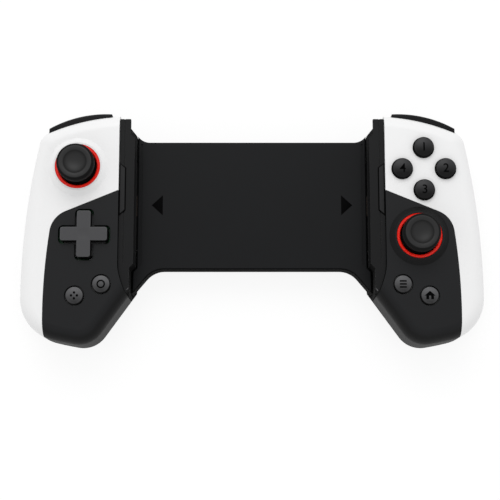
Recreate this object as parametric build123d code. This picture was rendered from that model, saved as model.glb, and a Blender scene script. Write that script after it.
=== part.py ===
from build123d import *
import math
import os

os.makedirs("parts", exist_ok=True)

# A telescopic wireless gamepad, lying on its back with the controls up.
# X runs to the right hand, Y away from the player, Z up off the table, all in millimetres.
# Everything is drawn on the right-hand side; the left side is its mirror image.
# A grip and all that it carries are drawn from the inner face of its jaw, and moved out beside the bridge.

# Outline of a grip in plan, with X measured from the inner face of its jaw
TOP_INNER = (-7.0, 54.6)
TOP_MIDDLE = (23.0, 53.0)
TOP_OUTER = (46.0, 45.0)
SIDE_MIDDLE = (52.7, 2.0)
HEEL_OUTER = (53.9, -50.3)
HEEL_MIDDLE = (37.0, -55.2)
HEEL_INNER = (19.7, -58.2)
WAIST = (-7.0, -21.05)
SHOULDER_RADIUS = 8.0
HEEL_RADIUS = 21.0
WAIST_RADIUS = 13.0

# Heights of a grip
GRIP_FRONT = 32.0
PARTING = 8.0
PALM_TOP = -26.0
GROOVE = (4.0, 5.0)
RIDGE_START = 21.0
RIDGE_END = 31.0
SHOULDER_RISE = (60.0, 9.5)
FRONT_ROUND = 7.0
REAR_ROUND = 8.0
WALL = 2.0
SEAM = 0.2
PROFILE_MARGIN = 10.0

# Inner edge of a grip and the jaw that closes it
INNER_TOP = 47.5
INNER_CORNER = (3.0, 51.3)
FACE_INNER = 7.3
JAW_BOTTOM = 6.2
JAW_SKIN = 1.5
LIP_TOP = 30.0
LIP_THICK = 2.5
JAW_WALL = 5.0
JAW_TOP = 52.7
JAW_TAIL_TOP = -18.6
LIP_STEP_TOP = 43.2
LIP_SET_BACK = 2.0
LIP_GROOVE = (4.5, 5.2)
LIP_GROOVE_DEPTH = 0.5
WAIST_CURVE = ((1.6, 8.5), (6.5, 17.5))

# Boundary between the white and the black face
SEAM_START = (3.0, 18.76)
SEAM_CORNER = (39.0, 3.9)
SEAM_MIDDLE = (42.3, -30.0)
SEAM_END = (41.6, -64.0)
SEAM_RADIUS = 12.0

# Centre bridge
BRIDGE_HALF = 56.5
END_GAP = 0.5
BRIDGE_TOP = 44.3
BRIDGE_BOTTOM = -19.4
BRIDGE_REAR = 7.0
BRIDGE_FRONT = 17.0
BRIDGE_WALL = 1.7
BRIDGE_EDGE = 0.8
FLARE_TOP_BACK = 6.0
FLARE_TOP_RISE = 3.1
FLARE_BACK = 13.5
FLARE_END_BACK = 4.7
FLARE_ANGLE = 50.0
END_GROOVE_BACK = (2.5, 1.5)
END_GROOVE_DEPTH = 0.5
ARROW_BACK = 7.1
ARROW_LENGTH = 5.5
ARROW_HALF = 5.1
ARROW_DEPTH = 0.3

# Sliders, rack and pinion
SLIDE_TRAVEL = 45.0
SLIDER_THICK = 2.6
SLIDER_GAP = 0.3
SLIDER_HALF = 22.0
SLIDER_INNER_END = 7.6
TONGUE_END = 16.0
TONGUE = (5.0, 33.0)
MODULE = 1.0
PINION_TEETH = 12
PRESSURE_ANGLE = 20.0
PINION_ADDENDUM = 0.85
PINION_DEDENDUM = 1.05
RACK_ADDENDUM = 0.7
RACK_DEDENDUM = 1.0
BACKLASH = 0.15
ARM_WIDTH = 6.5
ARM_END_MARGIN = 5.5
PINION_PIN = 2.0
RUNNING = 0.06
SPRING_OFFSET = 26.3
SPRING_RADIUS = 2.2
SPRING_WIRE = 0.5
SPRING_ANCHOR_BACK = 6.5
LUG_THICK = 1.6
BOSS_RADIUS = 2.3
RIBBON_HALF = 5.0
RIBBON_THICK = 0.3
RAIL_THICK = 1.2
TONGUE_SCREW_DEPTH = 4.0
CENTRE_BOSS = 18.0
CORNER_BOSS = (4.2, -0.1)
RIBBON_END = 10.3
TONGUE_SCREWS = ((12.5, 21.0), (12.5, 30.0))

# Screws
GRIP_SCREWS = ((36.5, -20.0), (12.0, -20.0), (43.5, 10.0), (43.6, 33.0))
SCREW_SHANK = 1.1
GRIP_SCREW_SEAT = 5.4
GRIP_SCREW_TIP = 28.6
POST_FOOT = 3.3
FRONT_BOSS = 2.1
SCREW_HEAD = 2.0
HEAD_HEIGHT = 1.4
PILOT_CLEARANCE = 0.05

# Circuit boards
BOARD_BOTTOM = 22.6
BOARD_THICK = 1.6
BOARD_INSET = 5.0
BOARD_TOP_EDGE = 46.0
BOARD_INNER = 9.5
STICK_BOARD_TOP = 12.2
STICK_BOARD_HALF = (8.0, 6.6)
STICK_POST = 1.2
POST_INSET = 1.5
SWITCH_LONG = 3.0

# Thumb sticks
STICKS = {"left": (27.1, 28.3), "right": (23.1, -5.6)}
PIVOT = 19.0
HOUSING_HALF = 6.5
HOUSING_TOP = 22.5
HOUSING_WALL = 1.2
SENSOR_THICK = 3.0
SENSOR_HALF = 3.5
SENSOR_BOTTOM = 15.0
SWITCH_RADIUS = 1.2
SWITCH_GAP = 0.4
COLLAR_RIM = 0.9
COLLAR_SLOPE = 2.5
COLLAR_RISE = 2.0
RING_WIDE = 1.7
RING_TOP = 34.2
RING_FLANGE = 1.4
RING_FLANGE_THICK = 1.2
RING_GAP = 0.06
DOME_RADIUS = 13.0
DOME_THICK = 1.2
DOME_GAP = 0.49
DOME_ANGLE = 52.0
NECK_RADIUS = 3.2
CAP_RADIUS = 9.0
CAP_UNDER = 38.0
CAP_TOP = 44.0
CAP_ROUND = 1.6
DISH_RADIUS = 6.2
DISH_DEPTH = 1.1
DISH_FLOOR = 0.6
RING_BEVEL = 0.5
LEVER_RADIUS = 1.5
LEVER_BOTTOM = 15.6
STICK_CLICK = 0.5
AXLE_RADIUS = 0.9
BLOCK_RADIUS = 2.25
BLOCK_HALF = 3.0
BLOCK_PIN = 0.7
YOKE_HALF = (4.4, 3.5)
YOKE_RAIL = 1.1
YOKE_HEIGHT = 2.6
ROCKER_INNER = 4.35
ROCKER_OUTER = 5.15
ROCKER_HALF = 2.6
STICK_TILT = 15.0
GIMBAL_GAP = 0.1

# Direction pad
DPAD = (23.4, -4.9)
DPAD_SPAN = 22.5
DPAD_ARM = 6.6
DPAD_TOP = 35.0
DPAD_CORNER = 1.1
DPAD_EDGE = 0.5
DPAD_CLEARANCE = 1.3
DPAD_FLANGE = 10.6
DPAD_FLANGE_BOTTOM = 27.7
DPAD_FLANGE_THICK = 1.2
DPAD_SEAT_RADIUS = 2.6
DPAD_SEAT_GAP = 0.4
DPAD_DOME_REACH = 7.5
DPAD_DOME_BASE = 2.6
DPAD_DOME_TOP = 26.7
DPAD_DISH = 0.25
DPAD_DISH_RADIUS = 3.2

# Round buttons
DIAMOND = (26.0, 27.4)
DIAMOND_REACH = 10.45
ACTION_RADIUS = 4.95
ACTION_EDGE = 34.0
ACTION_DOME = 0.7
ACTION_TRAVEL = 1.2
ACTION_CLEARANCE = 0.3
SMALL_BUTTONS = ((14.9, -28.9), (27.5, -34.4))
SMALL_RADIUS = 4.3
SMALL_EDGE = 32.7
SMALL_DOME = 0.3
SMALL_TRAVEL = 0.7
SMALL_CLEARANCE = 0.6
BUTTON_EDGE_ROUND = 0.5
FLANGE_EXTRA = 1.0
FLANGE_THICK = 1.2
FLANGE_GAP = 0.15
MAT_SHEET = 0.6
MAT_STRIP = 4.0
MAT_DOME_RADIUS = 3.0
MAT_GAP = 0.1
MAT_DOME_TOP_RADIUS = 2.0

# Bumpers and triggers
BUMPER_ENDS = (11.6, 42.0)
BUMPER_OUTER = ((11.0, 55.9), (28.5, 54.2), (42.5, 48.4))
BUMPER_DEPTH = 4.6
BUMPER_HEIGHTS = (20.2, 28.0)
BUMPER_GAP = 0.3
BUMPER_TRAVEL = 1.2
BUMPER_ROUND = 1.2
PLUNGER = (22.0, 26.0)
PLUNGER_REACH = 3.4
BAY = (10.2, 36.5)
BAY_START = 36.6
BAY_TOP = 18.2
BAY_WALL = 1.5
TRIGGER_PIVOT = (43.5, 15.2)
TRIGGER_HUB = 2.7
TRIGGER_GAP = 0.4
TRIGGER_SHOULDER = 51.8
TRIGGER_NOSE = (54.6, 10.5)
TRIGGER_TIP = ((50.6, 2.6), (49.2, 2.1), (47.9, 2.9))
TRIGGER_BACK = (46.6, 8.5)
TRIGGER_PROUD = 1.0
PIN_RADIUS = 1.25
TORSION_MIDDLE = 23.5
TORSION_LONG = 4.0
TORSION_INNER = 1.5
TORSION_OUTER = 2.3

# Battery, socket and jaw fittings
BATTERY = (17.0, 39.0, -46.0, -25.0)
BATTERY_HEIGHTS = (8.3, 15.0)
SOCKET = (27.0, 15.0)
SOCKET_WIDE = 8.94
SOCKET_HIGH = 3.26
SOCKET_LONG = 7.3
SOCKET_SHEET = 0.3
SOCKET_GAP = 0.15
SOCKET_MOUTH = -56.2
SOCKET_BOARD_HALF = 6.5
SOCKET_BOARD_Y = (-52.5, -44.0)
PAD_SPAN = (-9.0, 39.0)
PAD_THICK = 1.0
PAD_MARGIN = 0.8
PAD_RIBS = 12
CLIP_OUTER = (5.3, 30.1)
CLIP_INNER = (7.5, 28.2)
CLIP_X = (4.3, 6.9)
CLIP_HEIGHT = 0.8

grip_place = BRIDGE_HALF + END_GAP
full_width = (WAIST[0] - PROFILE_MARGIN, HEEL_OUTER[0] + PROFILE_MARGIN)
deep = HEEL_INNER[1] - PROFILE_MARGIN
high = TOP_INNER[1] + PROFILE_MARGIN
full_depth = (-PROFILE_MARGIN, GRIP_FRONT + PROFILE_MARGIN)
pitch_radius = MODULE * PINION_TEETH / 2
bridge_middle = (BRIDGE_TOP + BRIDGE_BOTTOM) / 2
bridge_screw_tip = BRIDGE_FRONT - BRIDGE_WALL + PILOT_CLEARANCE
cavity_floor = BRIDGE_REAR + BRIDGE_WALL
cavity_top = BRIDGE_FRONT - BRIDGE_WALL
lower_slider = cavity_floor + SLIDER_GAP
upper_slider = lower_slider + SLIDER_THICK + SLIDER_GAP
slider_top = upper_slider + SLIDER_THICK
slot_floor = JAW_BOTTOM + JAW_SKIN
slot_half = SLIDER_HALF + SLIDER_GAP
ledge_top = BRIDGE_FRONT - SLIDER_GAP
ledge_bottom = ledge_top - JAW_SKIN
board_top = BOARD_BOTTOM + BOARD_THICK
face_under = GRIP_FRONT - WALL
flange_top = face_under - FLANGE_GAP
ring_bottom = flange_top - RING_FLANGE_THICK
ring_inner = math.sqrt(DOME_RADIUS**2 - (ring_bottom - PIVOT) ** 2) + DOME_GAP
ring_outer = ring_inner + RING_WIDE


def box_between(x, y, z):
    """A box given by its limits along X, Y and Z."""
    size = (x[1] - x[0], y[1] - y[0], z[1] - z[0])
    return Pos((x[0] + x[1]) / 2, (y[0] + y[1]) / 2, (z[0] + z[1]) / 2) * Box(*size)


def post(place, low, high, radius):
    """An upright cylinder between two heights."""
    upright = Cylinder(radius, high - low, align=(Align.CENTER, Align.CENTER, Align.MIN))
    return Pos(place[0], place[1], low) * upright


def slab(face, low, high):
    """A flat outline raised between two heights."""
    return Pos(0, 0, low) * extrude(face, high - low)


def axle(x, y, height, radius):
    """A cylinder along X between two places."""
    span = Cylinder(radius, x[1] - x[0])
    return Pos((x[0] + x[1]) / 2, y, height) * Rot(0, 90, 0) * span


def turned(*outline):
    """A solid turned about the Z axis from a closed outline of radius and height."""
    return revolve(Plane.XZ * make_face(Polyline(*outline, close=True)), Axis.Z)


def nearest_corner(shape, point):
    """The corner of a flat outline that lies nearest to a point."""
    return shape.vertices().sort_by_distance(Vector(point[0], point[1], 0))[0]


def on_side(shape, side):
    """The right-hand shape, or its mirror image for the left side."""
    return shape if side == "right" else mirror(shape, about=Plane.YZ)


def on_grip(shape, side):
    """A shape drawn from a jaw's inner face, moved to its place on one side."""
    return on_side(Pos(grip_place, 0, 0) * shape, side)


def save(name, shape):
    """Write one piece under its own name."""
    export_step(shape, f"parts/{name}.step")


def grip_plan():
    """Outline of a grip seen from the front, with an inner edge that is trimmed later."""
    outline = make_face(
        [
            ThreePointArc(TOP_INNER, TOP_MIDDLE, TOP_OUTER),
            ThreePointArc(TOP_OUTER, SIDE_MIDDLE, HEEL_OUTER),
            ThreePointArc(HEEL_OUTER, HEEL_MIDDLE, HEEL_INNER),
            Line(HEEL_INNER, WAIST),
            Line(WAIST, TOP_INNER),
        ]
    )
    corners = (
        (TOP_OUTER, SHOULDER_RADIUS),
        (HEEL_OUTER, HEEL_RADIUS),
        (HEEL_INNER, WAIST_RADIUS),
    )
    for place, radius in corners:
        outline = fillet(nearest_corner(outline, place), radius)
    return outline


def grip_profile(inset):
    """Side view of a grip: palm swell, finger groove, ridge and rising shoulder."""
    low = HEEL_INNER[1] - PROFILE_MARGIN
    top = GRIP_FRONT - inset
    groove = (GROOVE[0], GROOVE[1] + inset)
    shoulder = (SHOULDER_RISE[0], SHOULDER_RISE[1] + inset)
    level = (1, 0)
    return make_face(
        [
            Line((low, inset), (PALM_TOP, inset)),
            Spline((PALM_TOP, inset), groove, (RIDGE_START, inset), tangents=[level, level]),
            Line((RIDGE_START, inset), (RIDGE_END, inset)),
            TangentArc((RIDGE_END, inset), shoulder, tangent=level),
            Line(shoulder, (SHOULDER_RISE[0], top)),
            Line((SHOULDER_RISE[0], top), (low, top)),
            Line((low, top), (low, inset)),
        ]
    )


def grip_body(inset):
    """A solid grip with rounded edges, its skin drawn in by the inset."""
    outline = grip_plan()
    if inset:
        outline = offset(outline, -inset)
    body = slab(outline, *full_depth)
    profile = extrude(Plane.YZ * grip_profile(inset), full_width[1] - full_width[0])
    body = body & Pos(full_width[0], 0, 0) * profile
    top = GRIP_FRONT - inset
    inner_edge = WAIST[0] + inset + WALL / 2
    outer = body.edges().filter_by(lambda edge: edge.center().X > inner_edge)
    front = outer.filter_by(lambda edge: edge.bounding_box().min.Z > top - WALL / 2)
    body = fillet(front, FRONT_ROUND - inset)
    outer = body.edges().filter_by(lambda edge: edge.center().X > inner_edge)
    rear = outer.filter_by(
        lambda edge: edge.bounding_box().max.Z < SHOULDER_RISE[1] + inset
        and edge.bounding_box().size.Y > SEAM
    )
    return fillet(rear, REAR_ROUND - inset)


def left_of(heights, *points):
    """Everything on the inner side of a line of points, between two heights."""
    far = (full_width[0], points[-1][1])
    near = (full_width[0], points[0][1])
    face = make_face(Polyline(*points, far, near, close=True))
    return slab(face, *heights)


sloped_corner = left_of(
    (full_depth[0], ledge_top),
    (0, deep),
    (0, INNER_TOP),
    INNER_CORNER,
    (INNER_CORNER[0] + PROFILE_MARGIN / 4, TOP_INNER[1]),
    (INNER_CORNER[0] + PROFILE_MARGIN / 4, high),
)
whole_grip = grip_body(0) - left_of(full_depth, (0, deep), (0, high)) - sloped_corner
hollow = grip_body(WALL) - left_of(full_depth, (WALL, deep), (WALL, high))


def face_edge(x_shift):
    """Inner edge of the face covers: straight beside the jaw, then curving in to the waist."""
    edge = FACE_INNER + x_shift
    bends = [(edge - inward, JAW_TAIL_TOP - down) for inward, down in WAIST_CURVE]
    return (
        Polyline((edge, high), (edge, JAW_TAIL_TOP)),
        Spline((edge, JAW_TAIL_TOP), *bends, tangents=[(0, -1), (-1, -1)]),
    )


def jaw_side(x_shift):
    """The region in plan that belongs to the jaw."""
    straight, curve = face_edge(x_shift)
    end = curve @ 1
    rest = Polyline(end, (full_width[0], end.Y), (full_width[0], high), straight @ 0)
    return make_face([straight, curve, rest])


def seam_region(shift):
    """The region in plan that belongs to the black face, grown or shrunk by a shift."""
    face = make_face(
        [
            Line(SEAM_START, SEAM_CORNER),
            ThreePointArc(SEAM_CORNER, SEAM_MIDDLE, SEAM_END),
            Polyline(SEAM_END, (SEAM_START[0] - WALL, SEAM_END[1]), SEAM_START),
        ]
    )
    face = fillet(nearest_corner(face, SEAM_CORNER), SEAM_RADIUS)
    return slab(offset(face, shift), *full_depth)


def bumper_plan(depth_gap, side_gap):
    """Outline of a bumper in plan, grown by its gaps."""
    outer = ThreePointArc(*BUMPER_OUTER)
    start = BUMPER_OUTER[0]
    end = BUMPER_OUTER[2]
    back = BUMPER_DEPTH + depth_gap
    inner = ThreePointArc(*[(x, y - back) for x, y in BUMPER_OUTER])
    band = make_face([outer, Line(end, inner @ 1), inner, Line(inner @ 0, start)])
    ends = (BUMPER_ENDS[0] - side_gap, BUMPER_ENDS[1] + side_gap)
    window = Pos(sum(ends) / 2, start[1] - BUMPER_DEPTH) * Rectangle(ends[1] - ends[0], 6 * BUMPER_DEPTH)
    return band & window


def dpad_plan(clearance):
    """Cross outline of the direction pad about its own centre."""
    span = DPAD_SPAN + 2 * clearance
    arm = DPAD_ARM + 2 * clearance
    cross = Rectangle(span, arm) + Rectangle(arm, span)
    outer = cross.vertices().filter_by(lambda v: max(abs(v.X), abs(v.Y)) > span / 2 - RUNNING)
    return fillet(outer, DPAD_CORNER + clearance)


def action_places():
    """Places of the four action buttons: top, right, bottom, left."""
    x, y = DIAMOND
    reach = DIAMOND_REACH
    return ((x, y + reach), (x + reach, y), (x, y - reach), (x - reach, y))


def bulge(half_width, level, rise):
    """A point on the circle that rises from an edge to the axis, halfway between them."""
    radius = (half_width**2 + rise**2) / (2 * abs(rise))
    drop = radius - math.sqrt(radius**2 - half_width**2 / 4)
    return (half_width / 2, level + rise - math.copysign(drop, rise))


def round_button(place, radius, edge, dome):
    """A push button with a domed top and a flange that the cover holds in."""
    low = flange_top - FLANGE_THICK
    wide = radius + FLANGE_EXTRA
    shoulder = edge - BUTTON_EDGE_ROUND
    top_radius = radius - BUTTON_EDGE_ROUND
    slant = BUTTON_EDGE_ROUND * (1 - math.sqrt(0.5))
    crown = bulge(top_radius, edge, dome)
    profile = make_face(
        [
            Polyline((0, edge + dome), (0, low), (wide, low), (wide, flange_top)),
            Polyline((wide, flange_top), (radius, flange_top), (radius, shoulder)),
            ThreePointArc((radius, shoulder), (radius - slant, edge - slant), (top_radius, edge)),
            ThreePointArc((top_radius, edge), crown, (0, edge + dome)),
        ]
    )
    return Pos(place[0], place[1], 0) * revolve(Plane.XZ * profile, Axis.Z)


def strip(start, end, width, low, thick):
    """A flat strip that joins two places in plan."""
    x = end[0] - start[0]
    y = end[1] - start[1]
    middle = Pos((start[0] + end[0]) / 2, (start[1] + end[1]) / 2, low + thick / 2)
    return middle * Rot(0, 0, math.degrees(math.atan2(y, x))) * Box(math.hypot(x, y), width, thick)


def mat_pad(place, radius, dome_radius, dome_top):
    """A disc of a silicone mat with one switch dome on it."""
    sheet_top = board_top + MAT_SHEET
    disc = post(place, board_top, sheet_top, radius)
    rise = dome_top - sheet_top
    dome = Cone(dome_radius, MAT_DOME_TOP_RADIUS, rise, align=(Align.CENTER, Align.CENTER, Align.MIN))
    return disc + Pos(place[0], place[1], sheet_top) * dome


def screw(place, seat, tip, upright):
    """A pan-head screw whose head seats at one height, with its tip at another."""
    away = seat - HEAD_HEIGHT if upright else seat + HEAD_HEIGHT
    head = post(place, min(seat, away), max(seat, away), SCREW_HEAD)
    return head + post(place, min(seat, tip), max(seat, tip), SCREW_SHANK)


# Centre bridge


def bridge_plan():
    """Outline of the bridge: a plate whose ends flare to meet the grips."""
    drop = (FLARE_BACK - FLARE_END_BACK) * math.tan(math.radians(FLARE_ANGLE / 2))
    start = (BRIDGE_HALF - FLARE_BACK, BRIDGE_BOTTOM)
    flare = (BRIDGE_HALF - FLARE_END_BACK, BRIDGE_BOTTOM - drop)
    tip_drop = (FLARE_END_BACK + LIP_SET_BACK) * math.tan(math.radians(FLARE_ANGLE))
    step = (BRIDGE_HALF, JAW_TAIL_TOP)
    step_end = (BRIDGE_HALF + LIP_SET_BACK, JAW_TAIL_TOP - LIP_SET_BACK)
    tip = (step_end[0], flare[1] - tip_drop)
    top_start = (BRIDGE_HALF - FLARE_TOP_BACK, BRIDGE_TOP)
    top = (BRIDGE_HALF, BRIDGE_TOP + FLARE_TOP_RISE)
    half = make_face(
        [
            Polyline((0, BRIDGE_BOTTOM), (0, BRIDGE_TOP), top_start),
            TangentArc(top_start, top, tangent=(1, 0)),
            Polyline(top, step, step_end, tip, flare),
            TangentArc(start, flare, tangent=(1, 0)),
            Line(start, (0, BRIDGE_BOTTOM)),
        ]
    )
    return half + mirror(half, about=Plane.YZ)


anchor = BRIDGE_HALF - SPRING_ANCHOR_BACK
corner = (BRIDGE_HALF - CORNER_BOSS[0], BRIDGE_BOTTOM + CORNER_BOSS[1])
anchors = ((anchor, bridge_middle + SPRING_OFFSET), (-anchor, bridge_middle - SPRING_OFFSET))
bridge_bosses = anchors + (
    (0, bridge_middle + CENTRE_BOSS),
    (0, bridge_middle - CENTRE_BOSS),
    corner,
    (-corner[0], corner[1]),
)
bridge_half_height = (BRIDGE_FRONT + BRIDGE_REAR) / 2

bridge_body = slab(bridge_plan(), BRIDGE_REAR, BRIDGE_FRONT)
rims = bridge_body.edges().group_by(Axis.Z)
bridge_body = fillet(rims[-1] + rims[0], BRIDGE_EDGE)
bridge_shell = bridge_body - slab(offset(bridge_plan(), -BRIDGE_WALL), cavity_floor, cavity_top)
slot_span = (bridge_middle - slot_half, bridge_middle + slot_half)
end_to_end = (-BRIDGE_HALF - WALL, BRIDGE_HALF + WALL)
bridge_shell = bridge_shell - box_between(end_to_end, slot_span, (cavity_floor, cavity_top))
for place in bridge_bosses:
    bridge_shell = bridge_shell + post(place, cavity_floor, cavity_top, BOSS_RADIUS)
    bridge_shell = bridge_shell - post(place, BRIDGE_REAR, bridge_screw_tip, SCREW_SHANK + PILOT_CLEARANCE)
    head_bore = post(place, BRIDGE_REAR, BRIDGE_REAR + HEAD_HEIGHT + SEAM, SCREW_HEAD + SEAM)
    bridge_shell = bridge_shell - head_bore
rail = (SLIDER_HALF + SLIDER_GAP, SLIDER_HALF + SLIDER_GAP + RAIL_THICK)
rail_x = (SLIDER_INNER_END + WALL, BRIDGE_HALF - BRIDGE_WALL)
for turn in (1, -1):
    rail_y = sorted((bridge_middle + turn * rail[0], bridge_middle + turn * rail[1]))
    ends = sorted((turn * rail_x[0], turn * rail_x[1]))
    bridge_shell = bridge_shell + box_between(ends, rail_y, (cavity_floor, cavity_top))
for turn in (1, -1):
    groove_x = sorted(turn * (BRIDGE_HALF - back) for back in END_GROOVE_BACK)
    groove_y = (BRIDGE_BOTTOM + WALL, BRIDGE_TOP - WALL / 2)
    groove_z = (BRIDGE_FRONT - END_GROOVE_DEPTH, BRIDGE_FRONT)
    bridge_shell = bridge_shell - box_between(groove_x, groove_y, groove_z)
    tip_x = turn * (BRIDGE_HALF - ARROW_BACK)
    base_x = tip_x - turn * ARROW_LENGTH
    arrow = make_face(
        Polyline(
            (tip_x, bridge_middle),
            (base_x, bridge_middle + ARROW_HALF),
            (base_x, bridge_middle - ARROW_HALF),
            close=True,
        )
    )
    bridge_shell = bridge_shell - slab(arrow, BRIDGE_FRONT - ARROW_DEPTH, BRIDGE_FRONT)
far = 2 * BRIDGE_HALF
upper_half = box_between((-far, far), (-far, far), (bridge_half_height, far))
pinion_pin = post((0, bridge_middle), cavity_floor, slider_top, PINION_PIN)
save("bridge_front", bridge_shell & upper_half)
save("bridge_rear", bridge_shell - upper_half + pinion_pin)
screws = []
for place in bridge_bosses:
    seat = BRIDGE_REAR + HEAD_HEIGHT + SEAM
    screws.append(screw(place, seat, bridge_screw_tip - SEAM, True))
save("bridge_screws", Compound(screws))


# Pinion and racks


def pinion():
    """Involute pinion with a tooth pointing along +Y and another along -Y."""
    slope = math.radians(PRESSURE_ANGLE)
    base = pitch_radius * math.cos(slope)
    tip = pitch_radius + PINION_ADDENDUM
    root = pitch_radius - PINION_DEDENDUM
    half_tooth = math.pi / 2 / PINION_TEETH - BACKLASH / 2 / pitch_radius
    spread = half_tooth + math.tan(slope) - slope

    def flank(radius):
        """Half the tooth's angle at a radius on its involute flank."""
        roll = math.acos(base / radius)
        return spread - (math.tan(roll) - roll)

    radii = [base + (tip - base) * step / 3 for step in range(4)]
    right = [(root, spread)] + [(radius, flank(radius)) for radius in radii]
    left = [(radius, -angle) for radius, angle in reversed(right)]
    points = []
    for tooth in range(PINION_TEETH):
        middle = math.pi / 2 + 2 * math.pi * tooth / PINION_TEETH
        for radius, angle in left[::-1] + right[::-1]:
            points.append((radius * math.cos(middle + angle), radius * math.sin(middle + angle)))
    wheel = make_face(Polyline(*points, close=True)) - Circle(PINION_PIN + RUNNING)
    bottom = cavity_floor + RUNNING
    return Pos(0, bridge_middle, 0) * slab(wheel, bottom, slider_top)


def rack_teeth(start, end):
    """Rack outline along X about a pitch line at Y = 0, its teeth towards -Y, a gap at X = 0."""
    pitch = math.pi * MODULE
    lean = math.tan(math.radians(PRESSURE_ANGLE))
    half = pitch / 4 - BACKLASH / 2
    first = math.ceil(start / pitch - 0.5)
    last = math.floor(end / pitch - 0.5)
    points = [(start, ARM_WIDTH), (start, RACK_DEDENDUM)]
    for tooth in range(first, last):
        middle = (tooth + 0.5) * pitch
        wide = half + RACK_DEDENDUM * lean
        narrow = half - RACK_ADDENDUM * lean
        points += [(middle - wide, RACK_DEDENDUM), (middle - narrow, -RACK_ADDENDUM)]
        points += [(middle + narrow, -RACK_ADDENDUM), (middle + wide, RACK_DEDENDUM)]
    points += [(end, RACK_DEDENDUM), (end, ARM_WIDTH)]
    return make_face(Polyline(*points, close=True))


def slider(side):
    """A plate fixed to one grip, with a rack arm that reaches past the pinion."""
    turn = -1 if side == "right" else 1
    low = lower_slider if side == "right" else upper_slider
    heights = (low, low + SLIDER_THICK)
    wide = (bridge_middle - SLIDER_HALF, bridge_middle + SLIDER_HALF)
    plate_end = grip_place + FACE_INNER
    plate = box_between((SLIDER_INNER_END, plate_end), wide, heights)
    plate = plate + box_between((plate_end, grip_place + TONGUE_END), TONGUE, heights)
    arm = rack_teeth(-SLIDE_TRAVEL - ARM_END_MARGIN, SLIDER_INNER_END)
    if turn < 0:
        arm = mirror(arm, about=Plane.XZ)
    arm = Pos(0, bridge_middle + turn * pitch_radius, 0) * slab(arm, *heights)
    lug_reach = SPRING_OFFSET + SPRING_RADIUS
    lug_y = sorted((bridge_middle + turn * SLIDER_HALF, bridge_middle + turn * lug_reach))
    lug = box_between((SLIDER_INNER_END, SLIDER_INNER_END + LUG_THICK), lug_y, heights)
    plate = plate + arm + lug
    for x, y in TONGUE_SCREWS:
        plate = plate - post((grip_place + x, y), *heights, SCREW_SHANK + PILOT_CLEARANCE)
    return on_side(plate, side)


save("sync_pinion", pinion())
for side in ("left", "right"):
    save(f"slider_{side}", slider(side))

spring_height = (cavity_floor + cavity_top) / 2
springs = []
for turn, (x, y) in zip((1, -1), anchors):
    ends = sorted((-turn * SLIDER_INNER_END, x - turn * BOSS_RADIUS))
    coil = axle(ends, y, spring_height, SPRING_RADIUS)
    springs.append(coil - axle(ends, y, spring_height, SPRING_RADIUS - SPRING_WIRE))
save("return_springs", Compound(springs))

ribbon_low = slider_top + SLIDER_GAP / 2
ribbon_y = (bridge_middle - RIBBON_HALF, bridge_middle + RIBBON_HALF)
ribbon_end = grip_place + RIBBON_END
ribbon = box_between((-ribbon_end, ribbon_end), ribbon_y, (ribbon_low, ribbon_low + RIBBON_THICK))
for turn in (1, -1):
    rise_x = sorted((turn * ribbon_end, turn * (ribbon_end - RIBBON_THICK)))
    rise_z = (ribbon_low, BOARD_BOTTOM - SEAM / 2)
    ribbon = ribbon + box_between(rise_x, ribbon_y, rise_z)
save("ribbon_cable", ribbon)


# Grip covers


def trigger_bay(grow):
    """The space behind the shoulder in which a trigger swings, grown by its wall."""
    x = (BAY[0] - grow, BAY[1] + grow)
    return box_between(x, (BAY_START - grow, high), (-PROFILE_MARGIN, BAY_TOP + grow))


def pin_bore(radius):
    """The line of the trigger's hinge pin, from wall to wall."""
    ends = (BAY[0] - BAY_WALL + SEAM, BAY[1] + BAY_WALL - SEAM)
    return axle(ends, *TRIGGER_PIVOT, radius)


def bumper_window():
    """The opening in the top wall through which a bumper passes."""
    x = (BUMPER_ENDS[0] - BUMPER_GAP, BUMPER_ENDS[1] + BUMPER_GAP)
    y = (BUMPER_OUTER[2][1] - BUMPER_DEPTH - BUMPER_TRAVEL, high)
    z = (BUMPER_HEIGHTS[0] - BUMPER_GAP, BUMPER_HEIGHTS[1] + BUMPER_GAP)
    return box_between(x, y, z)


def socket_bore(side_gap, length):
    """The rounded flat shape of the charging socket, grown by a gap."""
    wide = SOCKET_WIDE + 2 * side_gap
    tall = SOCKET_HIGH + 2 * side_gap
    face = Plane.XZ * RectangleRounded(wide, tall, tall / 2 - RUNNING)
    return Pos(SOCKET[0], SOCKET_MOUTH, SOCKET[1]) * extrude(face, -length)


grip_shell = whole_grip - hollow + (whole_grip & trigger_bay(BAY_WALL)) - trigger_bay(0)
grip_shell = grip_shell - pin_bore(PIN_RADIUS + RUNNING) - bumper_window()
face_shell = grip_shell - slab(jaw_side(SEAM / 2), *full_depth)
face_shell = face_shell & box_between(full_width, (deep, high), (PARTING + SEAM / 2, full_depth[1]))
rear_shell = grip_shell - box_between(full_width, (deep, high), (PARTING - SEAM / 2, full_depth[1]))
rear_shell = rear_shell - slab(jaw_side(SEAM / 2), JAW_BOTTOM, full_depth[1])


def cover_bosses(places):
    """Screw bosses that hang from a face cover down to the board."""
    bosses = [post(place, board_top + SEAM / 2, face_under, FRONT_BOSS) for place in places]
    return Part() + bosses


def cover_bores(places):
    """Pilot holes of the screws in a face cover."""
    pilot = SCREW_SHANK + PILOT_CLEARANCE
    return [post(place, board_top, GRIP_SCREW_TIP + SEAM, pilot) for place in places]


def stick_opening(cover, stick):
    """Raise the collar round a stick and cut the hole that its ring sits in."""
    rim = ring_outer + COLLAR_RIM
    rise = Cone(rim + COLLAR_SLOPE, rim, COLLAR_RISE, align=(Align.CENTER, Align.CENTER, Align.MIN))
    collar = Pos(stick[0], stick[1], GRIP_FRONT) * rise
    hole = post(stick, face_under - WALL, GRIP_FRONT + PROFILE_MARGIN, ring_outer + RING_GAP)
    return cover + collar - hole


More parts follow.
